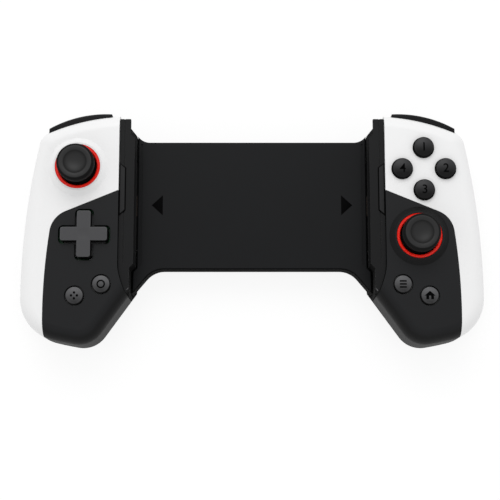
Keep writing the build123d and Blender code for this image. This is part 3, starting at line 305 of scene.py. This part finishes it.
ARROW_TIP = 49.4 * MM
ARROW_BASE = 43.9 * MM
ARROW_HALF = 5.1 * MM
ARROW_MIDDLE = 12.45 * MM
ARROW_FLOOR = 16.7 * MM
ARROW_THICK = 0.15 * MM
ARROW_ROUND = 0.05 * MM
ARROW_SHARE = 0.96


def scene_object(name, shape, material=None):
    """Turn a finished bmesh into an object of the scene."""
    mesh = bpy.data.meshes.new(name)
    shape.to_mesh(mesh)
    shape.free()
    if material:
        mesh.materials.append(material)
    made = bpy.data.objects.new(name, mesh)
    bpy.context.scene.collection.objects.link(made)
    return made


def piece(name, shape, material, body):
    """Turn a finished bmesh into a named, smoothed piece that rides on a body."""
    made = scene_object(name, shape, material)
    smooth = made.modifiers.new("smooth", "NODES")
    smooth.node_group = smooth_faces
    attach(made, body)
    return made


def raise_faces(shape, faces, height):
    """Make flat faces into a closed slab by raising them, and give the vertices of its top."""
    raised = bmesh.ops.extrude_face_region(shape, geom=faces)["geom"]
    tops = [item for item in raised if isinstance(item, bmesh.types.BMVert)]
    bmesh.ops.translate(shape, verts=tops, vec=(0, 0, height))
    bmesh.ops.recalc_face_normals(shape, faces=shape.faces)
    return tops


# Black for the inlays, and for the painted shade round the clips.
inlay_and_shade_black = moulded(
    "inlay_and_shade_black", (0.001, 0.001, 0.0011), 0.6, gloss=0.03, grains=1800, depth=0.004
)
for side, turn in zip(SIDES, (-1, 1)):
    shape = bmesh.new()
    centre = Vector((turn * (ARROW_TIP + 2 * ARROW_BASE) / 3, ARROW_MIDDLE, ARROW_FLOOR))
    corners = (
        Vector((turn * ARROW_TIP, ARROW_MIDDLE, ARROW_FLOOR)),
        Vector((turn * ARROW_BASE, ARROW_MIDDLE + ARROW_HALF, ARROW_FLOOR)),
        Vector((turn * ARROW_BASE, ARROW_MIDDLE - ARROW_HALF, ARROW_FLOOR)),
    )
    face = shape.faces.new([shape.verts.new(centre + (c - centre) * ARROW_SHARE) for c in corners])
    tops = raise_faces(shape, [face], ARROW_THICK)
    rim = [edge for edge in shape.edges if all(v in tops for v in edge.verts)]
    bmesh.ops.bevel(
        shape, geom=rim, offset=ARROW_ROUND, segments=2, profile=0.5, affect="EDGES", material=-1
    )
    piece(f"arrow_{side}", shape, inlay_and_shade_black, "bridge")


# Bridge screws
# Pan-head screws of bright steel, driven from behind into the front half's bosses.
# Each head has a cross recess that the plain solids leave out.

SCREW_HEAD_RADIUS = 2.0 * MM
SCREW_HEAD_HEIGHT = 1.4 * MM
SCREW_SHANK_RADIUS = 1.1 * MM
SCREW_SIDES = 28
ONLY_HEAD_FROM = 1.2 * SCREW_SHANK_RADIUS
ONLY_HEAD_TO = 1.1 * SCREW_HEAD_RADIUS
PAN_HEAD_SHARES = ((0, 1), (0.72, 0.96), (0.94, 0.7), (1, 0.35), (1, 0))
CROSS_WIDTH = 0.42 * MM
CROSS_REACH = 1.25 * MM
CROSS_DEPTH = 0.8 * MM
LINE_STRETCH = 0.05
POLISH_SWING = 0.1


def metal(name, colour, roughness, lines=900, depth=0.002):
    """A drawn or turned metal finish, with fine lines along X; depth is theirs, in millimetres."""
    material = bpy.data.materials.new(name)
    material.use_nodes = True
    tree = material.node_tree
    skin = tree.nodes["Principled BSDF"]
    skin.inputs["Metallic"].default_value = 1.0
    skin.inputs["Base Color"].default_value = (*colour, 1)
    place = tree.nodes.new("ShaderNodeTexCoord")
    stretch = tree.nodes.new("ShaderNodeMapping")
    stretch.inputs["Scale"].default_value = (LINE_STRETCH, 1, 1)
    streaks = tree.nodes.new("ShaderNodeTexNoise")
    streaks.inputs["Scale"].default_value = lines
    streaks.inputs["Detail"].default_value = 4
    polish = tree.nodes.new("ShaderNodeMapRange")
    polish.inputs["To Min"].default_value = roughness - POLISH_SWING
    polish.inputs["To Max"].default_value = roughness + POLISH_SWING
    bump = tree.nodes.new("ShaderNodeBump")
    bump.inputs["Distance"].default_value = depth * MM
    tree.links.new(place.outputs["Object"], stretch.inputs["Vector"])
    tree.links.new(stretch.outputs["Vector"], streaks.inputs["Vector"])
    tree.links.new(streaks.outputs["Fac"], polish.inputs["Value"])
    tree.links.new(polish.outputs["Result"], skin.inputs["Roughness"])
    tree.links.new(streaks.outputs["Fac"], bump.inputs["Height"])
    tree.links.new(bump.outputs["Normal"], skin.inputs["Normal"])
    return material


def islands(node):
    """Lowest and highest corner of each separate solid in a CAD node."""
    shape = bmesh.new()
    shape.from_mesh(nodes[node].data)
    bmesh.ops.remove_doubles(shape, verts=shape.verts, dist=WELD_REACH)
    waiting = set(shape.verts)
    found = []
    while waiting:
        start = waiting.pop()
        solid = {start}
        unvisited = [start]
        while unvisited:
            here = unvisited.pop()
            for edge in here.link_edges:
                other = edge.other_vert(here)
                if other not in solid:
                    solid.add(other)
                    unvisited.append(other)
        waiting -= solid
        corners = [v.co for v in solid]
        low = Vector([min(c[axis] for c in corners) for axis in range(3)])
        high = Vector([max(c[axis] for c in corners) for axis in range(3)])
        found.append((low, high))
    shape.free()
    return sorted(found, key=lambda box: (round(box[0].x, 5), round(box[0].y, 5)))


def screw_shape(shape, place, seat, tip):
    """Add a pan-head screw with a cross recess, from the height of its seat to that of its tip."""
    away = 1 if seat > tip else -1
    turn = Matrix.Translation((place.x, place.y, seat)) @ Matrix.Diagonal((1, 1, away, 1))
    length = abs(seat - tip)
    profile = [(x * SCREW_HEAD_RADIUS, z * SCREW_HEAD_HEIGHT) for x, z in PAN_HEAD_SHARES]
    profile += [
        (SCREW_SHANK_RADIUS, 0),
        (SCREW_SHANK_RADIUS, SCREW_SHANK_RADIUS / 2 - length),
        (SCREW_SHANK_RADIUS / 2, -length),
        (0, -length),
    ]
    screw = bmesh.new()
    line = [screw.verts.new((radius, 0, height)) for radius, height in profile]
    rails = [screw.edges.new(pair) for pair in zip(line, line[1:])]
    bmesh.ops.spin(
        screw, geom=line + rails, cent=(0, 0, 0), axis=(0, 0, 1), angle=math.tau,
        steps=SCREW_SIDES, use_merge=True,
    )
    bmesh.ops.remove_doubles(screw, verts=screw.verts, dist=WELD_REACH / 4)
    bmesh.ops.recalc_face_normals(screw, faces=screw.faces)
    blank = scene_object("screw_blank", screw)
    cross = bmesh.new()
    for quarter in (0, math.pi / 2):
        bar = bmesh.ops.create_cube(cross, size=1.0)["verts"]
        bmesh.ops.scale(cross, verts=bar, vec=(2 * CROSS_REACH, CROSS_WIDTH, 2 * CROSS_DEPTH))
        bmesh.ops.rotate(cross, verts=bar, cent=(0, 0, 0), matrix=Matrix.Rotation(quarter, 3, "Z"))
    bmesh.ops.translate(cross, verts=cross.verts, vec=(0, 0, SCREW_HEAD_HEIGHT))
    tool = scene_object("screw_cross", cross)
    cut = blank.modifiers.new("cross", "BOOLEAN")
    cut.operation = "DIFFERENCE"
    cut.solver = "EXACT"
    cut.use_self = True
    cut.object = tool
    cut_blank = blank.evaluated_get(bpy.context.evaluated_depsgraph_get())
    finished = bpy.data.meshes.new_from_object(cut_blank)
    finished.transform(turn)
    if away < 0:
        finished.flip_normals()
    shape.from_mesh(finished)
    for used in (blank, tool):
        bpy.data.objects.remove(used)


def head_is_below(node, low, high):
    """Whether a screw's head, which alone is wider than its shank, is at its lower end."""
    middle = (low + high) / 2
    for vertex in nodes[node].data.vertices:
        of_head = ONLY_HEAD_FROM < (vertex.co.xy - middle.xy).length < ONLY_HEAD_TO
        if of_head and low.z - MM < vertex.co.z < high.z + MM:
            return vertex.co.z < middle.z
    raise ValueError(f"{node} has a screw with no head")


def screw_set(node, body):
    """Replace a node of plain screws by screws with cross recesses, each in the same place."""
    shape = bmesh.new()
    for low, high in islands(node):
        if head_is_below(node, low, high):
            screw_shape(shape, (low + high) / 2, low.z + SCREW_HEAD_HEIGHT, high.z)
        else:
            screw_shape(shape, (low + high) / 2, high.z - SCREW_HEAD_HEIGHT, low.z)
    made = piece(node + "_detailed", shape, steel, body)
    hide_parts(node)


steel = metal("bright_steel", (0.62, 0.62, 0.63), 0.3)
screw_set("bridge_screws", "bridge")


# Return springs and ribbon cable
# Two steel coils inside the bridge pull the grips together. A thin dark amber ribbon joins the
# two circuit boards across the bridge, built here as two halves, one from each side.

RIBBON_WIDTH = 10 * MM
RIBBON_THICK = 0.3 * MM
RIBBON_STEPS = 40
RIBBON_TRACKS = 14
RIBBON_FILM = (0.02, 0.01, 0.005)
RIBBON_COPPER = (0.05, 0.022, 0.008)


def ribbon_finish():
    """Dark amber film with copper tracks showing faintly along the cable."""
    material = moulded("ribbon_amber", RIBBON_FILM, 0.28, grains=1500, depth=0.002)
    tree = material.node_tree
    skin = tree.nodes["Principled BSDF"]
    place = tree.nodes.new("ShaderNodeTexCoord")
    tracks = tree.nodes.new("ShaderNodeTexWave")
    tracks.bands_direction = "Y"
    tracks.inputs["Scale"].default_value = RIBBON_TRACKS / (RIBBON_WIDTH * math.tau)
    blend = tree.nodes.new("ShaderNodeMix")
    blend.data_type = "RGBA"
    blend.inputs["A"].default_value = (*RIBBON_FILM, 1)
    blend.inputs["B"].default_value = (*RIBBON_COPPER, 1)
    tree.links.new(place.outputs["Object"], tracks.inputs["Vector"])
    tree.links.new(tracks.outputs["Fac"], blend.inputs["Factor"])
    tree.links.new(blend.outputs["Result"], skin.inputs["Base Color"])
    return material


ribbon_amber = ribbon_finish()
dress(steel, "return_springs")

low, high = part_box("ribbon_cable")
reach = high.x
middle = (low + high) / 2
for side, turn in zip(SIDES, (-1, 1)):
    half = bmesh.new()
    bmesh.ops.create_cube(half, size=1.0)
    bmesh.ops.scale(half, verts=half.verts, vec=(reach, high.y - low.y, RIBBON_THICK))
    bmesh.ops.translate(half, verts=half.verts, vec=(reach / 2, middle.y, low.z + RIBBON_THICK / 2))
    long_edges = [edge for edge in half.edges if edge.calc_length() > reach / 2]
    bmesh.ops.subdivide_edges(half, edges=long_edges, cuts=RIBBON_STEPS)
    riser = bmesh.ops.create_cube(half, size=1.0)["verts"]
    bmesh.ops.scale(half, verts=riser, vec=(RIBBON_THICK, high.y - low.y, high.z - low.z))
    bmesh.ops.translate(half, verts=riser, vec=(reach - RIBBON_THICK / 2, middle.y, middle.z))
    if turn < 0:
        bmesh.ops.scale(half, verts=half.verts, vec=(-1, 1, 1))
        bmesh.ops.reverse_faces(half, faces=half.faces)
    ribbon = scene_object(f"ribbon_cable_{side}", half, ribbon_amber)
    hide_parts("ribbon_cable")
    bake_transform(ribbon)


# Sliders and pinion
# Each grip is fixed to a flat nylon slider, whose rack runs past the pinion in mid bridge.
# The pinion makes both grips move out by the same amount.

slider_nylon = moulded(
    "slider_nylon", (0.006, 0.006, 0.0065), 0.42, gloss=0.15, grains=1800, depth=0.006
)
dress(slider_nylon, "slider_left", "slider_right", "sync_pinion")


# Rear covers and their screws
# The black back of each grip: palm swell, finger groove and ridge, with the trigger's bay.
# Its spark-eroded grain is coarser than the front's. Four screws go in from behind,
# and two inside hold the slider's tongue.

rear_black = moulded(
    "rear_black", (0.018, 0.0181, 0.0188), 0.6, gloss=0.06, grains=2000, depth=0.022, mottle=0.2
)
# Painted shade: darker on the turn from its faces to its walls.
paint_shading_by_slope(rear_black, (0.005, 0.005, 0.0055), "Edge", 0.1, 0.95)
for side in SIDES:
    dress(rear_black, f"rear_cover_{side}")
    screw_set(f"cover_screws_{side}", f"{side}_grip")


# Face covers
# The front of each grip: a white upper and outer part, and a black lower and inner part.
# Both are moulded with a fine satin grain, and meet on a thin sunk seam.

white_satin = moulded(
    "white_satin", (0.87, 0.87, 0.872), 0.4, grains=3000, depth=0.004, mottle=0.02
)
black_satin = moulded(
    "black_satin", (0.006, 0.0064, 0.0074), 0.48, gloss=0.22, grains=3000, depth=0.008, mottle=0.3
)
# Painted shade: its walls and rolled edges fall off to about a third of its colour.
paint_wall_shade(black_satin, 0.7, 0.995, least=0.3, dullest=0.6)
dress(white_satin, "face_white_left", "face_white_right")
dress(black_satin, "face_black_left", "face_black_right")


# Jaws, pads and clips
# The jaws grip the phone's short edges: a wall, a ledge and a lip, with a ribbed rubber pad.
# A small glossy clip on each lip covers the joint to the face covers.

jaw_black = moulded(
    "jaw_black", (0.0052, 0.0054, 0.0059), 0.4, gloss=0.17, grains=2800, depth=0.006, mottle=0.3
)
# Painted highlight: a light grey line on the turn of each rounded edge.
paint_shading_by_slope(jaw_black, (0.16, 0.16, 0.165), "Edge", 0.75, 0.999)
# Painted shade: its walls, as in the lip's groove, fall off towards black.
paint_wall_shade(jaw_black, 0.3, 0.8, least=0.15)
pad_rubber = moulded("pad_rubber", (0.014, 0.014, 0.0145), 0.72, grains=1500, depth=0.02)
clip_black = moulded(
    "clip_black", (0.0078, 0.008, 0.0088), 0.3, gloss=0.24, grains=2400, depth=0.002
)
# Painted shade: the clip's rounded rim is drawn black, for the shade of the gap round it.
paint_wall_shade(clip_black, 0.93, 0.999, least=0.0)
dress(jaw_black, "jaw_left", "jaw_right", edge=0.35 * MM)
dress(pad_rubber, "jaw_pad_left", "jaw_pad_right")
dress(clip_black, "jaw_clip_left", "jaw_clip_right", edge=0.75 * MM)


# Shade round the clips
# Painted shade: the thin black line round each clip, standing in for the shade of the gap where it
# meets the lip.
# It lies under the clip as one flat plate, a little wider than the clip on every side.

CLIP_SHADE_WIDTH = 0.38 * MM
CLIP_SHADE_PROUD = 0.05 * MM
CLIP_SHADE_SINK = 0.1 * MM

for side in SIDES:
    points = [vertex.co for vertex in nodes[f"jaw_clip_{side}"].data.vertices]
    foot = min(point.z for point in points)
    lowest = [point for point in points if point.z < foot + WELD_REACH]
    corners = [Vector(c) for c in sorted({(round(p.x, 6), round(p.y, 6)) for p in lowest})]
    centre = sum(corners, Vector((0, 0))) / len(corners)
    corners.sort(key=lambda corner: math.atan2(*(corner - centre).yx))
    shape = bmesh.new()
    rim = []
    for before, corner, after in zip(corners[-1:] + corners, corners, corners[1:] + corners[:1]):
        first = (corner - before).normalized()
        second = (after - corner).normalized()
        outward = Vector((first.y + second.y, -first.x - second.x)) / (1 + first.dot(second))
        place = corner + outward * CLIP_SHADE_WIDTH
        rim.append(shape.verts.new((place.x, place.y, foot - CLIP_SHADE_SINK)))
    raise_faces(shape, [shape.faces.new(rim)], CLIP_SHADE_SINK + CLIP_SHADE_PROUD)
    # Painted shade of the gap round the clip.
    piece(f"clip_gap_shade_{side}", shape, inlay_and_shade_black, f"{side}_grip")


# Thumb sticks
# A rubber cap with a dished top on a steel lever, in a gimbal of two crossed frames in a housing.
# A glossy red ring trims the hole that the cap's skirt closes.

cap_rubber = moulded(
    "cap_rubber", (0.007, 0.0071, 0.0075), 0.4, gloss=0.35, grains=2200, depth=0.012, mottle=0.2
)
# Painted shade: the cap's crest and flank fall off towards black round its dish.
paint_wall_shade(cap_rubber, 0.93, 0.995, least=0.12)
ring_red = moulded(
    "ring_red", (0.84, 0.014, 0.005), 0.22, gloss=0.3, grains=1200, depth=0.001, mottle=0.05
)
gimbal_white = moulded("gimbal_acetal", (0.7, 0.7, 0.67), 0.4)
housing_black = moulded("housing_black", (0.03, 0.03, 0.032), 0.5)
for side in SIDES:
    dress(cap_rubber, f"stick_cap_{side}")
    dress(ring_red, f"stick_ring_{side}")
    dress(gimbal_white, f"stick_yoke_{side}", f"stick_rocker_{side}", f"stick_pivot_{side}")
    dress(housing_black, f"stick_housing_{side}")
    dress(steel, f"stick_lever_{side}")


# Direction pad
# One rocking cross of dark grey plastic with a shallow dish in its middle.
# It tilts on a soft seat over four switch domes.

pad_grey = moulded(
    "pad_grey", (0.002, 0.002, 0.0021), 0.5, gloss=0.25, depth=0.006, mottle=0.15
)
# Painted shade: its walls keep the near-black base, and its own dark grey lies on its top.
paint_shading_by_slope(pad_grey, (0.056, 0.056, 0.059), "Top", 0.1, 0.6)
# Painted highlight: a lighter band along its rounded edges.
paint_shading_by_slope(pad_grey, (0.1, 0.1, 0.104), "Edge", 0.5, 1.0)
seat_silicone = moulded("silicone", (0.5, 0.51, 0.53), 0.5, grains=900, depth=0.004)
dress(pad_grey, "dpad")
dress(seat_silicone, "dpad_seat", "switch_mat_left", "switch_mat_right")


# Action buttons
# Four domed buttons in a diamond, moulded in smoky black.
# Each has a plain number in solid black: 1 at the top, then clockwise.

MARK_PROUD = 0.05 * MM
MARK_SINK = 0.15 * MM
NUMBER_HEIGHT = 4.2 * MM
NUMBER_BOLD = 0.045 * MM
NUMBER_LONG_EDGE = NUMBER_HEIGHT / 6
NUMBER_CUTS = 3
FONT_CAP_SHARE = 0.7
ABOVE_ALL = 1.0

button_smoke = moulded(
    "button_smoke", (0.004, 0.004, 0.0042), 0.32, gloss=0.16, depth=0.003, mottle=0.1
)
# Painted highlight: each dome is lighter where it leans to the far side, towards the lamp.
paint_shading_by_slope(button_smoke, (0.036, 0.036, 0.038), "Lean", 0.0, 1.0)
# Painted shade: each dome's rim falls off to black.
paint_wall_shade(button_smoke, 0.9, 0.975, least=0.02)
mark_black = moulded("mark_black", (0.0008, 0.0008, 0.0009), 0.6, gloss=0.02, depth=0.003)


def lay_on(shape, node):
    """Drop a flat mark onto the top of a CAD node, a hair proud, with its rim sunk into it."""
    surface = bmesh.new()
    surface.from_mesh(nodes[node].data)
    tree = BVHTree.FromBMesh(surface)
    for vertex in shape.verts:
        start = Vector((vertex.co.x, vertex.co.y, ABOVE_ALL))
        top = tree.ray_cast(start, Vector((0, 0, -1)))[0]
        vertex.co.z = top.z + (MARK_PROUD if vertex.co.z > 0 else -MARK_SINK)
    surface.free()


def thicken(shape):
    """Turn flat faces at height zero into a closed mark, its top above and its bottom below."""
    bmesh.ops.recalc_face_normals(shape, faces=shape.faces)
    for face in shape.faces:
        if face.normal.z < 0:
            face.normal_flip()
    raise_faces(shape, list(shape.faces), 2 * MM)
    bmesh.ops.translate(shape, verts=shape.verts, vec=(0, 0, -MM))


def number_mark(text, place):
    """A plain number as a closed mark, centred over a place."""
    curve = bpy.data.curves.new("number", "FONT")
    curve.body = text
    curve.size = NUMBER_HEIGHT / FONT_CAP_SHARE
    curve.offset = NUMBER_BOLD
    curve.align_x = "CENTER"
    writer = bpy.data.objects.new("number", curve)
    bpy.context.scene.collection.objects.link(writer)
    mesh = bpy.data.meshes.new_from_object(writer)
    bpy.data.objects.remove(writer)
    shape = bmesh.new()
    shape.from_mesh(mesh)
    bmesh.ops.remove_doubles(shape, verts=shape.verts, dist=WELD_REACH)
    bmesh.ops.triangulate(shape, faces=shape.faces)
    across = [v.co.x for v in shape.verts]
    up = [v.co.y for v in shape.verts]
    middle = Vector(((min(across) + max(across)) / 2, (min(up) + max(up)) / 2, 0))
    bmesh.ops.translate(shape, verts=shape.verts, vec=Vector((place.x, place.y, 0)) - middle)
    long_edges = [edge for edge in shape.edges if edge.calc_length() > NUMBER_LONG_EDGE]
    bmesh.ops.subdivide_edges(shape, edges=long_edges, cuts=NUMBER_CUTS)
    bmesh.ops.triangulate(shape, faces=shape.faces)
    thicken(shape)
    return shape


for number in ("1", "2", "3", "4"):
    node = f"button_{number}"
    dress(button_smoke, node)
    low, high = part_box(node)
    shape = number_mark(number, (low + high) / 2)
    lay_on(shape, node)
    piece(f"number_{number}", shape, mark_black, node)


# Small buttons
# Two satin grey buttons on each grip, set in round wells, with black pictograms:
# a ring and four dots on the left, three bars and a house on the right.

RING_OUTER = 2.05 * MM
RING_INNER = 1.35 * MM
RING_SIDES = 32
DOT_PLACE = 1.4 * MM
DOT_RADIUS = 0.58 * MM
DOT_SIDES = 20
BAR_LEVELS = (-1.45 * MM, 0, 1.45 * MM)
BAR_WIDE = 3.3 * MM
BAR_HIGH = 0.72 * MM
BAR_GRID = (8, 3)
ROOF_HALF = 2.6 * MM
ROOF_FOOT = -0.1 * MM
ROOF_PEAK = 2.2 * MM
ROOF_CUTS = 7
WALL_PLACE = 1.15 * MM
WALL_MIDDLE = -0.95 * MM
WALL_WIDE = 1.3 * MM
WALL_HIGH = 1.7 * MM

small_grey = moulded(
    "small_grey", (0.008, 0.008, 0.0085), 0.32, gloss=0.25, depth=0.003, mottle=0.15
)
# Painted highlight: each button is lighter where it leans to the far side, towards the lamp.
paint_shading_by_slope(small_grey, (0.13, 0.13, 0.135), "Lean", 0.0, 1.0)
# Painted shade: each button's rim falls off to black.
paint_wall_shade(small_grey, 0.8, 0.96, least=0.02)


def bar(shape, x, y, wide, high):
    """Add a flat bar by its centre, width and height, in a grid that can follow a dome."""
    across, up = BAR_GRID
    verts = bmesh.ops.create_grid(shape, x_segments=across, y_segments=up, size=0.5)["verts"]
    bmesh.ops.scale(shape, verts=verts, vec=(wide, high, 1))
    bmesh.ops.translate(shape, verts=verts, vec=(x, y, 0))


def ring_mark(shape):
    """A plain ring."""
    for radius in (RING_OUTER, RING_INNER):
        bmesh.ops.create_circle(shape, segments=RING_SIDES, radius=radius)
    bmesh.ops.bridge_loops(shape, edges=list(shape.edges))


def dots_mark(shape):
    """Four dots at the corners of a diamond."""
    for x, y in ((0, DOT_PLACE), (DOT_PLACE, 0), (0, -DOT_PLACE), (-DOT_PLACE, 0)):
        place = Matrix.Translation((x, y, 0))
        bmesh.ops.create_circle(
            shape, cap_ends=True, segments=DOT_SIDES, radius=DOT_RADIUS, matrix=place
        )


def bars_mark(shape):
    """Three level bars."""
    for level in BAR_LEVELS:
        bar(shape, 0, level, BAR_WIDE, BAR_HIGH)


def house_mark(shape):
    """A house: a wide roof over two walls, with a doorway between them."""
    corners = ((-ROOF_HALF, ROOF_FOOT), (ROOF_HALF, ROOF_FOOT), (0, ROOF_PEAK))
    roof = shape.faces.new([shape.verts.new((x, y, 0)) for x, y in corners])
    bmesh.ops.subdivide_edges(shape, edges=list(roof.edges), cuts=ROOF_CUTS, use_grid_fill=True)
    for x in (-WALL_PLACE, WALL_PLACE):
        bar(shape, x, WALL_MIDDLE, WALL_WIDE, WALL_HIGH)


pictograms = {
    "ring_button": ring_mark,
    "dots_button": dots_mark,
    "menu_button": bars_mark,
    "home_button": house_mark,
}
for node, draw in pictograms.items():
    dress(small_grey, node)
    low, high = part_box(node)
    middle = (low + high) / 2
    shape = bmesh.new()
    draw(shape)
    bmesh.ops.translate(shape, verts=shape.verts, vec=(middle.x, middle.y, 0))
    thicken(shape)
    lay_on(shape, node)
    piece(f"{node}_mark", shape, mark_black, node)


# Bumpers and triggers
# A bumper slides in the top edge of each grip, over a trigger that turns on a steel pin behind it.
# Both are moulded in semi-gloss black.

trigger_black = moulded(
    "trigger_black", (0.004, 0.0041, 0.0045), 0.34, gloss=0.13, depth=0.005, mottle=0.2
)
# Painted shade: the walls fall off to three fifths of the colour.
paint_wall_shade(trigger_black, 0.05, 0.7, least=0.6)
# Painted highlight: a lighter line along the rounded edges.
paint_shading_by_slope(trigger_black, (0.015, 0.015, 0.016), "Edge", 0.5, 0.98)
for side in SIDES:
    dress(trigger_black, f"bumper_{side}", f"trigger_{side}", edge=0.2 * MM)
    dress(steel, f"trigger_pin_{side}", f"trigger_spring_{side}")


# Circuit boards, battery and charging socket
# Green boards with their switches under silicone mats, a foil-wrapped cell in the left grip,
# and a nickel-plated socket in the heel of the right grip.

board_green = moulded(
    "board_green", (0.012, 0.11, 0.035), 0.3, grains=700, depth=0.01, mottle=0.6, patches=400
)
cell_foil = metal("cell_foil", (0.7, 0.7, 0.71), 0.4, lines=300, depth=0.01)
nickel = metal("nickel", (0.66, 0.65, 0.62), 0.25)
for side in SIDES:
    dress(board_green, f"circuit_board_{side}")
dress(cell_foil, "battery")
dress(nickel, "usb_socket")


# Floor, lights and camera
# A plain white floor, clear from below, an even white sky, and one soft lamp above and behind.
# The camera looks down steeply from the player's side, as in the photograph.

FLOOR_LEVEL = -0.05 * MM
FLOOR_REACH = 6.0
CAMERA_AIM = Vector((-0.96, -12.4, 32.0)) * MM
CAMERA_DISTANCE = 620 * MM
CAMERA_ELEVATION = math.radians(80.5)
SENSOR_WIDTH = 36
IMAGE_SIDE = 500
MM_PER_PIXEL = 0.478
WORLD_LEVEL = 0.81
FLOOR_GLOW = 1.05
FLOOR_GLOW_SHARE = 0.82
KEY_POWER = 5.0
KEY_PLACE = Vector((-0.1, 0.85, 1.05))
KEY_SIZE = 1.0

paper = bpy.data.materials.new("floor_paper")
paper.use_nodes = True
tree = paper.node_tree
skin = tree.nodes["Principled BSDF"]
skin.inputs["Base Color"].default_value = (0.9, 0.9, 0.9, 1)
skin.inputs["Roughness"].default_value = 0.9
skin.inputs["Specular IOR Level"].default_value = 0.0
glow = tree.nodes.new("ShaderNodeEmission")
glow.inputs["Strength"].default_value = FLOOR_GLOW
path = tree.nodes.new("ShaderNodeLightPath")
mirrored = maths(tree, "MAXIMUM")
seen = maths(tree, "MAXIMUM")
share = maths(tree, "MULTIPLY", None, FLOOR_GLOW_SHARE)
glowing = tree.nodes.new("ShaderNodeMixShader")
side_seen = tree.nodes.new("ShaderNodeNewGeometry")
clear = tree.nodes.new("ShaderNodeBsdfTransparent")
one_way = tree.nodes.new("ShaderNodeMixShader")
tree.links.new(path.outputs["Is Glossy Ray"], mirrored.inputs[0])
tree.links.new(path.outputs["Is Transmission Ray"], mirrored.inputs[1])
tree.links.new(path.outputs["Is Camera Ray"], seen.inputs[0])
tree.links.new(mirrored.outputs[0], seen.inputs[1])
tree.links.new(seen.outputs[0], share.inputs[0])
tree.links.new(share.outputs[0], glowing.inputs["Fac"])
tree.links.new(skin.outputs["BSDF"], glowing.inputs[1])
tree.links.new(glow.outputs["Emission"], glowing.inputs[2])
tree.links.new(side_seen.outputs["Backfacing"], one_way.inputs["Fac"])
tree.links.new(glowing.outputs["Shader"], one_way.inputs[1])
tree.links.new(clear.outputs["BSDF"], one_way.inputs[2])
tree.links.new(one_way.outputs["Shader"], tree.nodes["Material Output"].inputs["Surface"])

floor_shape = bmesh.new()
bmesh.ops.create_grid(floor_shape, x_segments=1, y_segments=1, size=FLOOR_REACH)
floor = scene_object("floor", floor_shape, paper)
floor.location.z = FLOOR_LEVEL

scene = bpy.context.scene
scene.view_settings.view_transform = "Standard"
world = bpy.data.worlds.new("studio")
scene.world = world
world.use_nodes = True
sky = world.node_tree.nodes["Background"]
sky.inputs["Color"].default_value = (1, 1, 1, 1)
sky.inputs["Strength"].default_value = WORLD_LEVEL

key_light = bpy.data.lights.new("key", "AREA")
key_light.shape = "DISK"
key_light.size = KEY_SIZE
key_light.energy = KEY_POWER
key = bpy.data.objects.new("key", key_light)
scene.collection.objects.link(key)
key.location = KEY_PLACE
key.rotation_euler = (CAMERA_AIM - KEY_PLACE).to_track_quat("-Z", "Y").to_euler()

lens = bpy.data.cameras.new("camera")
lens.sensor_width = SENSOR_WIDTH
lens.lens = SENSOR_WIDTH * CAMERA_DISTANCE / (IMAGE_SIDE * MM_PER_PIXEL * MM)
camera = bpy.data.objects.new("camera", lens)
scene.collection.objects.link(camera)
away = Vector((0, -math.cos(CAMERA_ELEVATION), math.sin(CAMERA_ELEVATION)))
camera.location = CAMERA_AIM + away * CAMERA_DISTANCE
camera.rotation_euler = (-away).to_track_quat("-Z", "Y").to_euler()
scene.camera = camera
